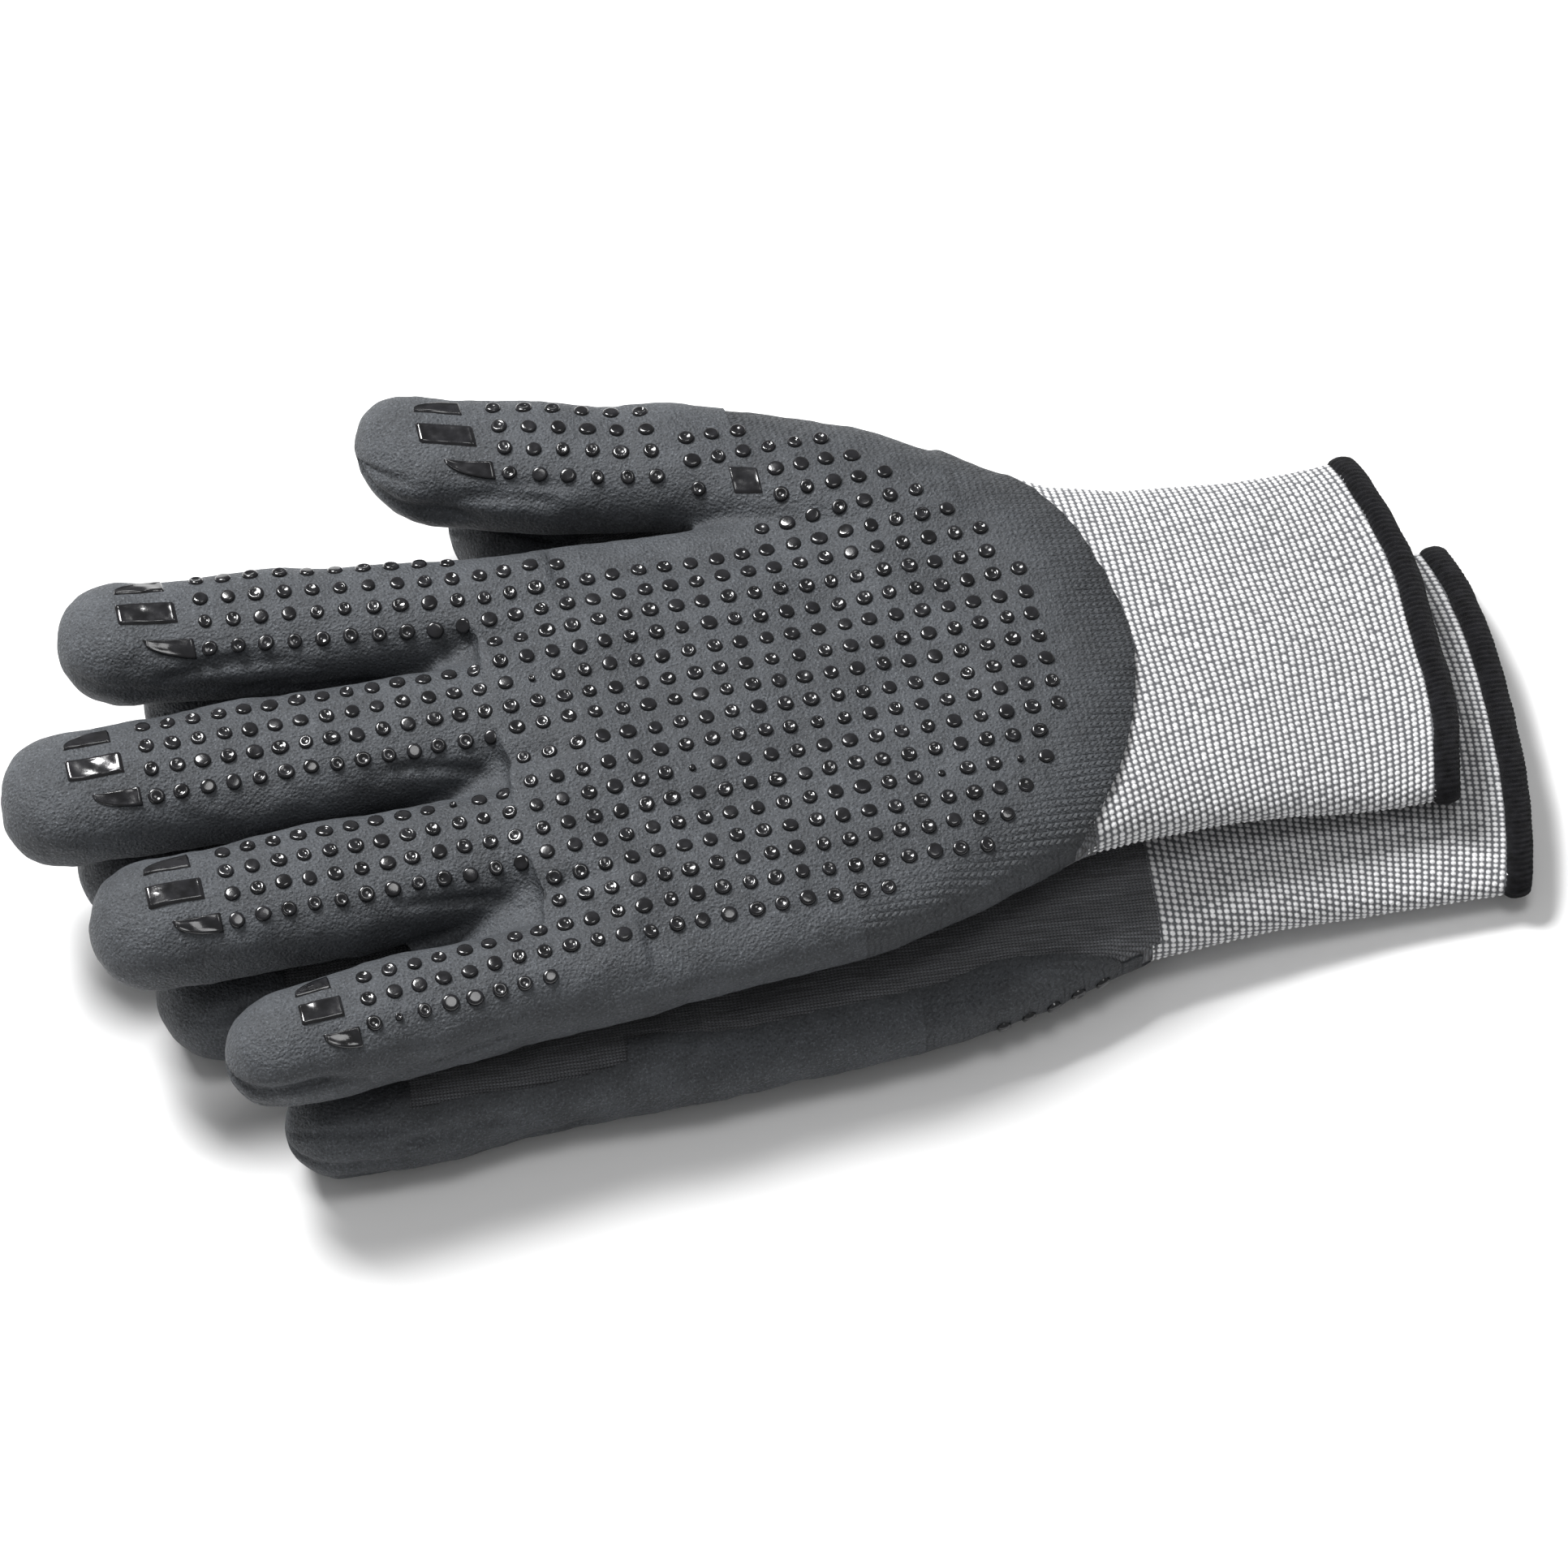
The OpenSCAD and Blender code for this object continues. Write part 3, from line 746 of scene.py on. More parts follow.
def add_dot(points, faces, rng, hit, normal, width, height, sides=14):
    profile = dot_shape(rng, width, height)
    up = np.array(normal) + 0.18 * max(0, normal[2]) * np.array((0, 0, 1))
    up /= np.linalg.norm(up)
    side = np.cross(up, (0, 0.6, 0.8)) if abs(up[1]) > 0.7 else np.cross(up, (0, 1, 0))
    side /= np.linalg.norm(side)
    other = np.cross(up, side)
    start = sum(len(p) for p in points)
    stretch = rng.uniform(0.94, 1.08)
    lump = rng.uniform(0, 0.05)
    phase, dimple = rng.uniform(0, 2 * math.pi), rng.normal(0, 0.12, 2)
    rows = []
    t = np.linspace(0, 2 * math.pi, sides, endpoint=False)
    for k, (r, h) in enumerate(profile):
        wobble = r * (1 + lump * np.sin(2 * t + phase))
        drift = dimple * (k >= 5)
        rows.append(
            np.array(hit) + np.outer(wobble * np.cos(t) * stretch + drift[0], side)
            + np.outer(wobble * np.sin(t) + drift[1], other) + h * up
        )
    points.append(np.concatenate(rows))
    for j in range(len(profile) - 1):
        for i in range(sides):
            a, b = start + j * sides + i, start + j * sides + (i + 1) % sides
            faces.append((a, a + sides, b + sides, b))
    faces.append(tuple(start + (len(profile) - 1) * sides + i for i in range(sides))[::-1])


def pad_outline(kind, u, stretch):
    """Place along the finger, lower and upper edge of a pad at u from 0 at its root end to 1."""
    length, width = grip("pad_length") * stretch, grip("pad_width")
    if kind == "middle":
        return -u * length, -width / 2 + 0 * u, width / 2 + 0 * u
    if kind == "patch":
        return -u * 5.0 + 0.0, -2.7 + 0.9 * u, 2.7 + 0.9 * u
    run, broad = 0.85 * length, 0.74 * width
    edge = broad * np.sqrt(np.clip(1 - u**1.8, 0, 1))
    if kind == "upper":
        return -u * run, -broad / 2 + 0 * u, -broad / 2 + edge
    return -u * run, broad / 2 - edge, broad / 2 + 0 * u


def add_pad(points, faces, rng, tree, kind, x0, y0, lean, height, stretch=1.0):
    """A pad moulded on the skin, with a raised rim and a wavy face."""
    along, across = 25, 13
    start = sum(len(p) for p in points)
    phases, rates = rng.uniform(0, 2 * math.pi, 3), rng.uniform(0.8, 1.5, 3)
    grid = []
    for u in np.linspace(0, 1, along):
        dx, lo, hi = pad_outline(kind, u, stretch)
        for v in np.linspace(0, 1, across):
            x = x0 + dx
            y = y0 - lean * dx + lo + (hi - lo) * v
            hit, normal = on_skin(tree, x, y)
            inside = min(min(u, 1 - u) * (along - 1), min(v, 1 - v) * (across - 1))
            sunk = min(1.0, max(0.0, inside - 1) / 2)
            wave = math.sin(rates[0] * x + phases[0]) * math.sin(rates[1] * y + phases[1])
            wave += math.sin(rates[2] * (x + y) + phases[2])
            lift = -0.2 if inside < 0.5 else height * (1.04 - 0.2 * sunk) + 0.035 * sunk * wave
            grid.append(np.array(hit) + np.array(normal) * lift)
    points.append(np.array(grid))
    for i in range(along - 1):
        for j in range(across - 1):
            a = start + i * across + j
            faces.append((a, a + across, a + across + 1, a + 1))


def finger_rows(finger):
    """Sideways places of a finger's rows of dots."""
    rows = FINGER[finger][5]
    return (np.arange(rows) - (rows - 1) / 2) * grip("row_pitch") * 0.97


def root_rows():
    """Where the palm's rows of dots meet the finger roots, in order, so that they run on into the fingers."""
    palm = [FINGER[f][0] + row for f in ("little", "ring", "middle", "index") for row in finger_rows(f)]
    out = []
    for a, b in zip(palm, palm[1:]):
        gaps = max(1, int((b - a) / grip("row_pitch") + 0.2))
        out += [a + (b - a) * k / gaps for k in range(gaps)]
    return out + [palm[-1]]


def palm_dots():
    """Places of the palm's dots: rows along the hand, which stop short of its edges and the wrist."""
    pitch, row = grip("dot_pitch"), grip("row_pitch")
    palm, ball = palm_stations(), ball_stations()
    length = size("palm_length")
    root = finger_root_x("thumb")
    at_root = root_rows()
    first = round(at_root[0] / row)
    out = []
    for i in range(21):
        for j in range(first, first + len(at_root) + 8):
            x = ROOT_CUT * 0.4 + i * pitch
            straight = j * row
            met = at_root[min(j - first, len(at_root) - 1)] + row * max(0, j - first - len(at_root) + 1)
            y = straight + (met - straight) * (1 - float(smooth(x / 32)))
            mid, a = between(palm, x)
            in_palm = abs(y - mid) < 0.87 * a and x < length + 2
            mid, a = between(ball, x)
            in_ball = x > root + 1 and y > 30 and abs(y - mid) < 0.88 * a and x < 0.92 * length
            wrist = math.hypot(x - 0.42 * length, y) < 0.6 * length
            if (in_palm or in_ball) and (wrist or x < 0.42 * length):
                out.append((x, y))
    return out


PAD_BACK = {"thumb": 8.2, "index": 9.0, "middle": 9.7, "ring": 8.0, "little": 8.8}
PAD_STRETCH = {"thumb": 1.05, "index": 1.1, "middle": 1.05, "ring": 1.05, "little": 0.8}
DOT_GAP = 4.5         # from a finger's last dots to its pads
MISPRINTED = 0.012    # share of dots that are only half printed


def pad_start(finger):
    """Distance from a finger's root to the root end of its pads."""
    return FINGER[finger][2] - size("tip_round") - PAD_BACK[finger]


def add_side_dots(points, faces, rng, tree, width, height):
    """The outermost rows of the lower glove, which its slack palm has rolled round its near side."""
    pitch = grip("dot_pitch")
    half = size("palm_thickness") / 2
    for count, level, start in ((13, 0.62, 30), (5, 0.18, 66)):
        for i in range(count):
            start_at = Vector((start + i * pitch, -100, middle_at("left", 0, half) + level * half))
            hit, normal, _, _ = tree.ray_cast(start_at, Vector((0, 1, 0)))
            add_dot(points, faces, rng, hit, normal, width, height)


def build_grip(hand, tree, materials):
    """Dots and fingertip pads of one glove, a piece for each stretch."""
    width, height = grip("dot_width"), grip("dot_height")
    pitch, row = grip("dot_pitch"), grip("row_pitch")
    rng = np.random.default_rng(SEED[hand] + 100)
    places = {segment: [] for segment in segments()}
    root = finger_root_x("thumb")
    patch = (root + 14.5, 0.435 * size("palm_width"))
    for x, y in palm_dots():
        if math.hypot(x - patch[0] + 2.5, y - patch[1]) > 5:
            places["hand"].append((x, y))
    for finger in FINGERS:
        length = FINGER[finger][2]
        joint = length * JOINT_SHARE
        first, last = pitch - ROOT_CUT * 0.4, pad_start(finger) - DOT_GAP
        for s in np.linspace(first, last, round((last - first) / pitch) + 1):
            segment = "hand" if s < ROOT_CUT else f"{finger}_base" if s < joint else f"{finger}_tip"
            for off in finger_rows(finger):
                places[segment].append((finger_root_x(finger) - s, finger_line(finger, s) + off))
    for segment, spots in places.items():
        points, faces = [], []
        for x, y in spots:
            hit, normal = on_skin(tree, x + rng.normal(0, 0.08), y + rng.normal(0, 0.08))
            if hit is not None and normal.z > 0.25:
                missed = rng.uniform() < MISPRINTED
                add_dot(points, faces, rng, hit, normal, width * (0.45 if missed else 1), height)
        if segment.endswith("tip"):
            finger = segment.split("_")[0]
            s = pad_start(finger)
            x = finger_root_x(finger) - s
            lean = FINGER[finger][1]
            spread = 1.32 * row if finger != "little" else 1.2 * row
            for kind, dy, ds in (("middle", 0, 0), ("upper", spread, 1.2), ("lower", -spread * 1.05, -2.0)):
                y = finger_line(finger, s + ds) + dy
                add_pad(points, faces, rng, tree, kind, x - ds, y, lean, height * 0.8, PAD_STRETCH[finger])
        if segment == "hand":
            add_pad(points, faces, rng, tree, "patch", patch[0], patch[1], 0.1, height * 0.5)
            if hand == "left":
                add_side_dots(points, faces, rng, tree, width, height)
        co = np.concatenate(points)
        obj = finish_mesh(hand, f"{hand}_{segment}_grip", co, faces, {"rest": co})
        obj.data.materials.append(materials["rubber"])
        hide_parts(f"{hand}_{'palm' if segment == 'hand' else segment}_grip")
        bend(obj, hand, segment)


# ---------------------------------------------------------------- cuff and hem


def cuff_ring(hand, x, angles, inset):
    """Points round the cuff at x, inset from the outline."""
    y, a = between(palm_stations(), x)
    half = half_at(x)
    z = middle_at(hand, x, half)
    power = 2.7
    return np.stack([
        np.full(len(angles), float(x)),
        y + (a - inset) * signed_power(np.cos(angles), 2 / power),
        z + (half - inset) * signed_power(np.sin(angles), 2 / power),
    ], -1)


def even_angles(hand, x, count):
    """Angles that space points evenly round the cuff at x."""
    fine = np.linspace(0, 2 * math.pi, 2000)
    loop = cuff_ring(hand, x, fine, 0.8)
    run = np.concatenate([[0], np.cumsum(np.linalg.norm(np.diff(loop, axis=0), axis=1))])
    return np.interp(np.linspace(0, run[-1], count, endpoint=False), run, fine), run[-1]


def hang(hand, co):
    """Slack of the cuff: its edge bows out in the middle, and its face waves a little."""
    length = size("palm_length")
    x, y = co[:, 0], co[:, 1]
    middle, a = between(palm_stations(), x)
    free = smooth((x - length - 12) / (size("cuff_length") - 12))
    out = co.copy()
    out[:, 0] += free * (BOW * (1 - np.clip((y - middle) / a, -1, 1) ** 2) - 0.35 * BOW)
    out[:, 0] += 0.25 * ripple(co, SEED[hand] + 311, 22) * smooth((x - length - 4) / 20)
    out[:, 2] += 0.4 * ripple(co, SEED[hand] + 310, 34) * smooth((x - length - 5) / 20)
    return out


def grid_faces(rows, around, wrap=True):
    last = around if wrap else around - 1
    faces = []
    for j in range(rows - 1):
        for i in range(last):
            a, b = j * around + i, j * around + (i + 1) % around
            faces.append((a, a + around, b + around, b))
    return faces


def build_cuff(hand, materials):
    """A rib knit tube: rows of raised white stitches with dark elastic yarn between them."""
    start = size("palm_length") - 1.0
    end = size("palm_length") + size("cuff_length") + 1.5
    course, stitch = 1.27, 1.03
    per_course, per_stitch = 4, 4
    _, girth = even_angles(hand, (start + end) / 2, 8)
    stitches = 2 * int(round(girth / stitch / 2))
    around = stitches * per_stitch
    courses = int(round((end - start) / course))
    rows = courses * per_course + 1
    rng = np.random.default_rng(SEED[hand] + 300)
    plump = rng.normal(1, 0.13, (courses + 2, stitches)).clip(0.6, 1.3)
    shove = rng.normal(0, 0.07, (courses + 2, stitches))
    points, bead = [], []
    for k in range(rows):
        x = start + (end - start) * k / (rows - 1)
        angles, _ = even_angles(hand, x, around)
        number = int(k / per_course + 0.5)
        lift_x = 0.5 + 0.5 * math.cos(2 * math.pi * (k / per_course - number))
        u = np.arange(around) / per_stitch + 0.3 * number + 0.22 * (k / per_course - number)
        own = np.floor(u + 0.5).astype(int) % stitches
        lift_u = 0.5 + 0.5 * np.cos(2 * math.pi * (u + shove[number][own]))
        wave = lift_x**0.8 * (0.2 + 0.8 * lift_u) * plump[number][own]
        loop = cuff_ring(hand, x, angles, 0.75)
        out = cuff_ring(hand, x, angles, -0.25) - loop
        hidden = smooth((coat_field(hand, loop, SEED[hand])[0] - 0.6) / 1.5)
        points.append(loop + out * (0.36 * wave * (1 - hidden) - 0.5 * hidden)[:, None])
        bead.append(wave)
    co = hang(hand, np.concatenate(points))
    bead = np.concatenate(bead)
    grid = co.reshape(rows, around, 3)
    across = np.roll(grid, -1, 1) - np.roll(grid, 1, 1)
    n = np.cross(across, np.gradient(grid, axis=0)).reshape(-1, 3)
    n /= -np.linalg.norm(n, axis=1)[:, None]
    half = around // 2
    for side, first in (("palm", 0), ("back", 1)):
        columns = (np.arange(half + 1) + first * half) % around
        used = (np.arange(rows)[:, None] * around + columns).ravel()
        part = grid_faces(rows, half + 1, wrap=False)
        name = f"{hand}_cuff_{side}"
        obj = finish_mesh(hand, name, co[used], part, {"rest": co[used], "bead": bead[used]}, n[used])
        obj.data.materials.append(materials["rib"])
        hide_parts(f"{hand}_cuff")
        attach(obj, f"{hand}_hand")
    xs = np.linspace(start, end, 40)
    angles = np.linspace(0, 2 * math.pi, 160, endpoint=False)
    co = hang(hand, np.concatenate([cuff_ring(hand, x, angles, 1.35) for x in xs]))
    faces = [f[::-1] for f in grid_faces(len(xs), len(angles))]
    lining = finish_mesh(hand, f"{hand}_cuff_inside", co, faces, {"rest": co, "bead": np.full(len(co), 0.3)})
    lining.data.materials.append(materials["rib"])
    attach(lining, f"{hand}_hand")


def build_hem(hand, materials):
    """Overlock thread wrapped round the cuff's edge in slanting turns."""
    x = size("palm_length") + size("cuff_length") + 1.9
    wide, thick = size("hem_width") / 2 + 0.1, 1.25
    stitch, per_stitch, sides = 1.0, 5, 18
    _, girth = even_angles(hand, x, 8)
    count = int(round(girth / stitch)) * per_stitch
    angles, _ = even_angles(hand, x, count)
    loop = cuff_ring(hand, x, angles, 1.0)
    out = cuff_ring(hand, x, angles, 0.0) - loop
    rng = np.random.default_rng(SEED[hand] + 400)
    loop = hang(hand, loop)
    loop[:, 0] += 0.12 * ripple(loop, SEED[hand] + 401, 7)
    t = np.linspace(0, 2 * math.pi, sides, endpoint=False)
    points = []
    for i in range(count):
        turn = i / per_stitch
        ridge = 0.2 * np.abs(np.sin(math.pi * (turn + 0.55 * np.sin(t)))) + rng.normal(0, 0.03, sides)
        r = 1 + ridge / thick
        along = np.outer(wide * np.cos(t) * (1 + 0.35 * ridge), (1, 0, 0))
        points.append(loop[i] + along + np.outer(thick * np.sin(t) * r, out[i]))
    co = np.concatenate(points)
    faces = []
    for i in range(count):
        for j in range(sides):
            a, b = i * sides + j, i * sides + (j + 1) % sides
            c, d = ((i + 1) % count) * sides + (j + 1) % sides, ((i + 1) % count) * sides + j
            faces.append((a, b, c, d))
    obj = finish_mesh(hand, f"{hand}_hem_thread", co, faces, {"rest": co})
    obj.data.materials.append(materials["thread"])
    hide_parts(f"{hand}_hem")
    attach(obj, f"{hand}_hand")


# ---------------------------------------------------------------- materials


def add_node(tree, kind, inputs=(), **settings):
    """A node with its settings, and its inputs set or linked."""
    node = tree.nodes.new(kind)
    for key, value in settings.items():
        setattr(node, key, value)
    for name, value in dict(inputs).items():
        if isinstance(value, bpy.types.NodeSocket):
            tree.links.new(value, node.inputs[name])
        else:
            node.inputs[name].default_value = value
    return node


def maths(tree, operation, a, b=0.0):
    node = add_node(tree, "ShaderNodeMath", operation=operation)
    for i, value in enumerate((a, b)):
        if isinstance(value, bpy.types.NodeSocket):
            tree.links.new(value, node.inputs[i])
        else:
            node.inputs[i].default_value = value
    return node.outputs[0]


def times(tree, a, b):
    return maths(tree, "MULTIPLY", a, b)


def plus(tree, a, b):
    return maths(tree, "ADD", a, b)


def attribute(tree, name):
    """What a piece's mesh stores under that name."""
    return add_node(tree, "ShaderNodeAttribute", attribute_name=name, attribute_type="GEOMETRY").outputs


def remap(tree, value, low, high, to_low=0.0, to_high=1.0):
    return add_node(tree, "ShaderNodeMapRange", {
        "Value": value, "From Min": low, "From Max": high, "To Min": to_low, "To Max": to_high,
    }).outputs[0]


def mix_colours(tree, share, a, b):
    node = add_node(tree, "ShaderNodeMix", data_type="RGBA")
    for name, value in (("Factor", share), ("A", a), ("B", b)):
        socket = next(s for s in node.inputs if s.name == name and s.enabled)
        if isinstance(value, bpy.types.NodeSocket):
            tree.links.new(value, socket)
        else:
            socket.default_value = value
    return next(s for s in node.outputs if s.enabled)


VECTOR = "NodeSocketVector"
NUMBER = "NodeSocketFloat"


def noise(tree, position, scale, detail, **more):
    """Noise at a scale per millimetre. The rest names its other inputs."""
    inputs = {"Vector": position, "Scale": scale, "Detail": detail, **more}
    return add_node(tree, "ShaderNodeTexNoise", inputs).outputs[0]


def new_group(name, inputs, outputs):
    group = bpy.data.node_groups.new(name, "ShaderNodeTree")
    for key, kind, value in inputs:
        socket = group.interface.new_socket(key, in_out="INPUT", socket_type=kind)
        if value is not None:
            socket.default_value = value
    for key, kind in outputs:
        group.interface.new_socket(key, in_out="OUTPUT", socket_type=kind)
    return group, group.nodes.new("NodeGroupInput"), group.nodes.new("NodeGroupOutput")


def rest_position(tree):
    """A point's place on the glove as made, in millimetres, so that a pattern stays put when it bends."""
    return attribute(tree, "rest")["Vector"]


def pebble_group():
    """Fine open-cell pebble with softer mottling: a mask for colour and a height in millimetres."""
    tree, given, result = new_group(
        "Foam pebble",
        [("Position", VECTOR, None), ("Grain", NUMBER, 0.35), ("Mottle", NUMBER, 6.0)],
        [("Speckle", NUMBER), ("Mottling", NUMBER), ("Height", NUMBER)],
    )
    place, grain = given.outputs["Position"], given.outputs["Grain"]
    fine = noise(tree, place, maths(tree, "DIVIDE", 1.0, grain), 3.0, Roughness=0.6)
    around = {"Vector": place, "Scale": maths(tree, "DIVIDE", 0.8, grain)}
    cells = add_node(tree, "ShaderNodeTexVoronoi", around, feature="SMOOTH_F1").outputs[0]
    soft = noise(tree, place, maths(tree, "DIVIDE", 1.0, given.outputs["Mottle"]), 4.0)
    tree.links.new(remap(tree, fine, 0.54, 0.66), result.inputs["Speckle"])
    tree.links.new(remap(tree, soft, 0.35, 0.65), result.inputs["Mottling"])
    height = plus(tree, times(tree, fine, 0.7), times(tree, cells, 0.6))
    tree.links.new(height, result.inputs["Height"])
    return tree


def knit_group():
    """Plain knit: rows of small slanting stitches with heathered yarn."""
    tree, given, result = new_group(
        "Knit stitches",
        [("Position", VECTOR, None), ("Course", NUMBER, 0.9), ("Wale", NUMBER, 0.75)],
        [("Stitch", NUMBER), ("Heather", NUMBER)],
    )
    axes = add_node(tree, "ShaderNodeSeparateXYZ", {"Vector": given.outputs["Position"]})
    wale = maths(tree, "DIVIDE", axes.outputs["Y"], given.outputs["Wale"])
    slant = times(tree, maths(tree, "PINGPONG", wale, 0.5), 1.1)
    course = plus(tree, maths(tree, "DIVIDE", axes.outputs["X"], given.outputs["Course"]), slant)
    across = maths(tree, "ABSOLUTE", maths(tree, "SINE", times(tree, wale, math.pi)))
    along = maths(tree, "ABSOLUTE", maths(tree, "SINE", times(tree, course, math.pi)))
    stitch = times(tree, maths(tree, "POWER", across, 0.6), maths(tree, "POWER", along, 0.7))
    lengthwise = {"Vector": given.outputs["Position"], "Scale": (0.12, 2.2, 0.8)}
    stretched = add_node(tree, "ShaderNodeMapping", lengthwise)
    yarn = noise(tree, stretched.outputs[0], 1.0, 5.0, Roughness=0.7)
    tree.links.new(stitch, result.inputs["Stitch"])
    tree.links.new(remap(tree, yarn, 0.4, 0.68), result.inputs["Heather"])
    return tree


def fibre_group():
    """Loose fibres of spun yarn: a fine height and a melange mask."""
    tree, given, result = new_group(
        "Yarn fibres",
        [("Position", VECTOR, None), ("Size", NUMBER, 0.12)],
        [("Fibre", NUMBER), ("Melange", NUMBER)],
    )
    place, width = given.outputs["Position"], given.outputs["Size"]
    fine = noise(tree, place, maths(tree, "DIVIDE", 1.0, width), 4.0, Distortion=1.5)
    broad = noise(tree, place, maths(tree, "DIVIDE", 0.09, width), 3.0)
    tree.links.new(fine, result.inputs["Fibre"])
    tree.links.new(remap(tree, broad, 0.3, 0.7), result.inputs["Melange"])
    return tree


def use_group(tree, group, **inputs):
    node = tree.nodes.new("ShaderNodeGroup")
    node.node_tree = group
    tree.links.new(rest_position(tree), node.inputs["Position"])
    for key, value in inputs.items():
        node.inputs[key].default_value = value
    return node


def new_material(name, roughness, **settings):
    material = bpy.data.materials.new(name)
    material.use_nodes = True
    tree = material.node_tree
    shader = tree.nodes["Principled BSDF"]
    shader.inputs["Roughness"].default_value = roughness
    for key, value in settings.items():
        shader.inputs[key.replace("_", " ")].default_value = value
    return material, tree, shader


def bump(tree, shader, height, distance, strength=1.0):
    """Feeds a height in millimetres to the shader's normal."""
    settings = {"Height": height, "Distance": distance * MM, "Strength": strength}
    node = add_node(tree, "ShaderNodeBump", settings)
    tree.links.new(node.outputs[0], shader.inputs["Normal"])


def rgba(name, scale=1.0):
    value = getattr(bpy.context.scene.glove_colours, name)
    return (value[0] * scale, value[1] * scale, value[2] * scale, 1.0)


def foam_material(pebble, knit):
    """Matte charcoal foam, with the knit's ribs showing through towards its thin edge."""
    material, tree, shader = new_material("Foam nitrile", 0.62, Specular_IOR_Level=0.42)
    grain = use_group(tree, pebble, Grain=0.42, Mottle=8.0)
    ribs = use_group(tree, knit, Course=1.25, Wale=1.3)
    edge = attribute(tree, "coat")["Fac"]
    arc = attribute(tree, "arc")["Fac"]
    thin = remap(tree, arc, 16.0, 3.0)
    base = mix_colours(tree, grain.outputs["Mottling"], rgba("foam", 0.72), rgba("foam", 1.08))
    # painted shade: the foam's colour is darkened in the pebble's low spots, where shade falls
    pit_shade = remap(tree, grain.outputs["Height"], 0.4, 0.56, 0.5, 0.0)
    pit_shaded = mix_colours(tree, pit_shade, base, rgba("foam", 0.3))
    speckles = times(tree, grain.outputs["Speckle"], 0.32)
    speckled = mix_colours(tree, speckles, pit_shaded, rgba("foam", 3.2))
    # the foam is coloured darker towards the coating's arc over the wrist
    arc_darkening = times(tree, remap(tree, arc, 22.0, 2.0), 0.35)
    arc_darkened = mix_colours(tree, arc_darkening, speckled, rgba("foam", 0.4))
    rim_shade = times(tree, remap(tree, edge, 2.6, 0.0), 0.55)
    edged = mix_colours(tree, rim_shade, arc_darkened, rgba("foam", 0.35))
    tree.links.new(edged, shader.inputs["Base Color"])
    rough = remap(tree, grain.outputs["Speckle"], 0.0, 1.0, 0.66, 0.5)
    tree.links.new(rough, shader.inputs["Roughness"])
    show = times(tree, ribs.outputs["Stitch"], thin)
    height = plus(tree, grain.outputs["Height"], times(tree, show, 0.9))
    bump(tree, shader, height, 0.42)
    return material


def liner_material(knit, fibre):
    """Dark fine-gauge knit with a heathered lengthwise streak."""
    material, tree, shader = new_material(
        "Liner knit", 0.85, Specular_IOR_Level=0.25, Sheen_Weight=0.25, Sheen_Roughness=0.5
    )
    loops = use_group(tree, knit, Course=0.62, Wale=0.55)
    fuzz = use_group(tree, fibre, Size=0.16)
    dark = mix_colours(tree, loops.outputs["Heather"], rgba("liner", 0.75), rgba("liner", 1.9))
    shaded = mix_colours(tree, loops.outputs["Stitch"], rgba("liner", 0.08), dark)
    tree.links.new(shaded, shader.inputs["Base Color"])
    height = plus(tree, loops.outputs["Stitch"], times(tree, fuzz.outputs["Fibre"], 0.5))
    bump(tree, shader, height, 0.22)
    return material


def rib_material(fibre):
    """White stitches over grey elastic yarn."""
    material, tree, shader = new_material(
        "Cuff rib", 0.8, Specular_IOR_Level=0.2, Sheen_Weight=0.2, Sheen_Roughness=0.6
    )
    bead = attribute(tree, "bead")["Fac"]
    fuzz = use_group(tree, fibre, Size=0.11)
    share = remap(tree, bead, 0.16, 0.5)
    shaded = times(tree, share, remap(tree, fuzz.outputs["Melange"], 0.0, 1.0, 0.88, 1.0))
    mixed = mix_colours(tree, shaded, rgba("rib_dark"), rgba("rib_light"))
    flecks = times(tree, remap(tree, fuzz.outputs["Fibre"], 0.52, 0.66), 0.22)
    flecked = mix_colours(tree, flecks, mixed, rgba("rib_dark", 1.4))
    tree.links.new(flecked, shader.inputs["Base Color"])
    bump(tree, shader, fuzz.outputs["Fibre"], 0.12)
    return material


def rubber_material(pebble):
    """Glossy black printed rubber."""
    material, tree, shader = new_material(
        "Grip rubber", 0.2, Specular_IOR_Level=0.4, Coat_Weight=0.4, Coat_Roughness=0.06
    )
    shader.inputs["Base Color"].default_value = rgba("rubber")
    grain = use_group(tree, pebble, Grain=0.9, Mottle=2.5)
    tint = mix_colours(tree, grain.outputs["Mottling"], rgba("rubber", 0.7), rgba("rubber", 2.2))
    tree.links.new(tint, shader.inputs["Base Color"])
    tree.links.new(remap(tree, grain.outputs["Mottling"], 0.0, 1.0, 0.12, 0.24), shader.inputs["Roughness"])
    bump(tree, shader, grain.outputs["Height"], 0.05, 0.6)
    return material


def thread_material(fibre):
    """Fuzzy black overlock thread."""
    material, tree, shader = new_material(
        "Overlock thread", 0.9, Specular_IOR_Level=0.08, Sheen_Weight=0.08, Sheen_Roughness=0.4
    )
    fuzz = use_group(tree, fibre, Size=0.14)
    tint = mix_colours(tree, fuzz.outputs["Melange"], rgba("thread", 0.6), rgba("thread", 2.4))
    tree.links.new(tint, shader.inputs["Base Color"])
    bump(tree, shader, fuzz.outputs["Fibre"], 0.25)
    return material


def floor_material():
    material, _, shader = new_material("Studio floor", 0.9, Specular_IOR_Level=0.1)
    shader.inputs["Base Color"].default_value = rgba("floor")
    return material


FINISHES = {}


# ---------------------------------------------------------------- operators


class GLOVE_OT_finishes(bpy.types.Operator):
    """Makes the materials that the pieces share"""

    bl_idname = "glove.finishes"
    bl_label = "Make finishes"

    def execute(self, context):
        pebble, knit, fibre = pebble_group(), knit_group(), fibre_group()
        FINISHES.update(
            foam=foam_material(pebble, knit), liner=liner_material(knit, fibre), rib=rib_material(fibre),
            rubber=rubber_material(pebble), thread=thread_material(fibre), floor=floor_material(),
        )
        return {"FINISHED"}


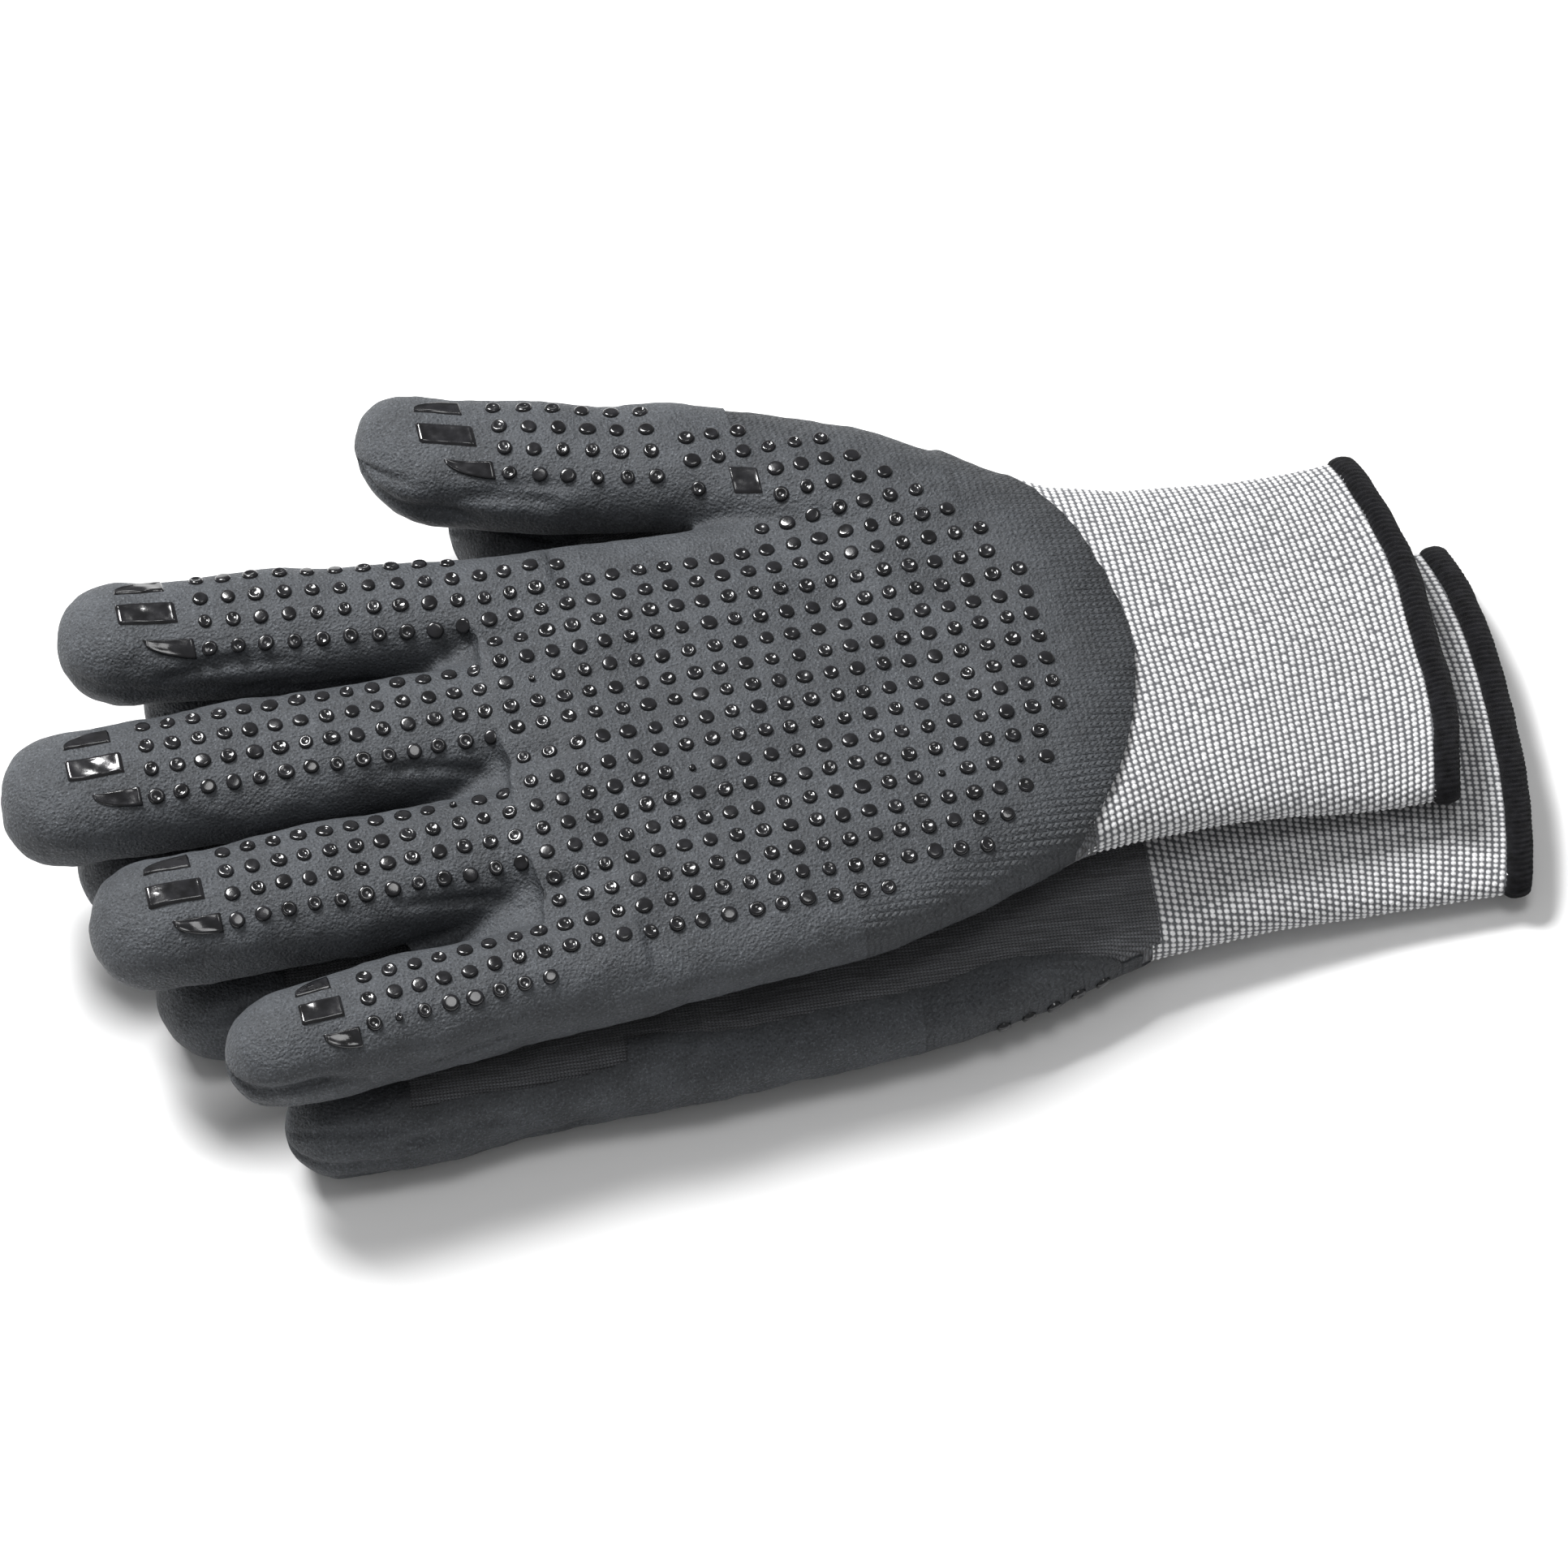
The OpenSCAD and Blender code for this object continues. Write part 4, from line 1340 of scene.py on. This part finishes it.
class GLOVE_OT_hands(bpy.types.Operator):
    """Makes the foam skins, the bare liner and the grip of both gloves"""

    bl_idname = "glove.hands"
    bl_label = "Make hands"

    def execute(self, context):
        for hand in HANDS:
            tree = build_skin(hand, FINISHES)
            build_grip(hand, tree, FINISHES)
        return {"FINISHED"}


class GLOVE_OT_cuffs(bpy.types.Operator):
    """Makes the rib cuffs and their overlocked hems"""

    bl_idname = "glove.cuffs"
    bl_label = "Make cuffs"

    def execute(self, context):
        for hand in HANDS:
            build_cuff(hand, FINISHES)
            build_hem(hand, FINISHES)
        return {"FINISHED"}


class GLOVE_OT_stage(bpy.types.Operator):
    """Makes the floor, the lights and the camera"""

    bl_idname = "glove.stage"
    bl_label = "Make stage"

    def execute(self, context):
        floor = make_object("floor", [(-3, -3, 0), (3, -3, 0), (3, 3, 0), (-3, 3, 0)], [(0, 1, 2, 3)])
        floor.data.materials.append(FINISHES["floor"])
        floor.location.z = -0.0005
        world = bpy.data.worlds.new("studio")
        world.use_nodes = True
        world.node_tree.nodes["Background"].inputs[0].default_value = (1, 1, 1, 1)
        world.node_tree.nodes["Background"].inputs[1].default_value = 0.33
        context.scene.world = world
        for name, place_at, target, width, power in (
            ("key", (-0.4, 0.62, 0.95), (0, 0, 0), 0.4, 25),
            ("top", (0.15, -0.1, 1.2), (0, 0, 0), 0.4, 3.0),
        ):
            light = bpy.data.lights.new(name, "AREA")
            light.size = width
            light.energy = power
            obj = bpy.data.objects.new(name, light)
            obj.location = place_at
            obj.rotation_euler = (Vector(target) - Vector(place_at)).to_track_quat("-Z", "Y").to_euler()
            context.scene.collection.objects.link(obj)
        azimuth, elevation = math.radians(-12.5), math.radians(55)
        distance, view_width = 1.6, 0.2744
        level = math.cos(elevation)
        back = Vector((math.sin(azimuth) * level, -math.cos(azimuth) * level, math.sin(elevation)))
        target = Vector(place("right", (46.9, -9.8, 19.2)))
        camera = bpy.data.cameras.new("camera")
        camera.sensor_width = 36
        camera.lens = distance * 36 / view_width
        camera.clip_end = 20
        obj = bpy.data.objects.new("camera", camera)
        obj.location = target + back * distance
        obj.rotation_euler = (-back).to_track_quat("-Z", "Y").to_euler()
        context.scene.collection.objects.link(obj)
        context.scene.camera = obj
        context.scene.view_settings.view_transform = "Standard"
        return {"FINISHED"}


class GLOVE_PT_panel(bpy.types.Panel):
    """Sizes and colours, and a button for each group of pieces"""

    bl_label = "Work gloves"
    bl_idname = "GLOVE_PT_panel"
    bl_space_type = "VIEW_3D"
    bl_region_type = "UI"
    bl_category = "Gloves"

    def draw(self, context):
        for group in (context.scene.glove_sizes, context.scene.glove_grip, context.scene.glove_colours):
            for key in group.bl_rna.properties.keys():
                if key not in {"rna_type", "name"}:
                    self.layout.prop(group, key)
        for operator in OPERATORS:
            self.layout.operator(operator.bl_idname)


OPERATORS = (GLOVE_OT_finishes, GLOVE_OT_hands, GLOVE_OT_cuffs, GLOVE_OT_stage)
CLASSES = (GloveSizes, GloveGrip, GloveColours) + OPERATORS + (GLOVE_PT_panel,)


def register():
    for cls in CLASSES:
        bpy.utils.register_class(cls)
    bpy.types.Scene.glove_sizes = PointerProperty(type=GloveSizes)
    bpy.types.Scene.glove_grip = PointerProperty(type=GloveGrip)
    bpy.types.Scene.glove_colours = PointerProperty(type=GloveColours)


def unregister():
    del bpy.types.Scene.glove_sizes, bpy.types.Scene.glove_grip, bpy.types.Scene.glove_colours
    for cls in reversed(CLASSES):
        bpy.utils.unregister_class(cls)


def main():
    register()
    bpy.ops.glove.finishes()
    bpy.ops.glove.hands()
    bpy.ops.glove.cuffs()
    bpy.ops.glove.stage()


if __name__ == "__main__":
    main()
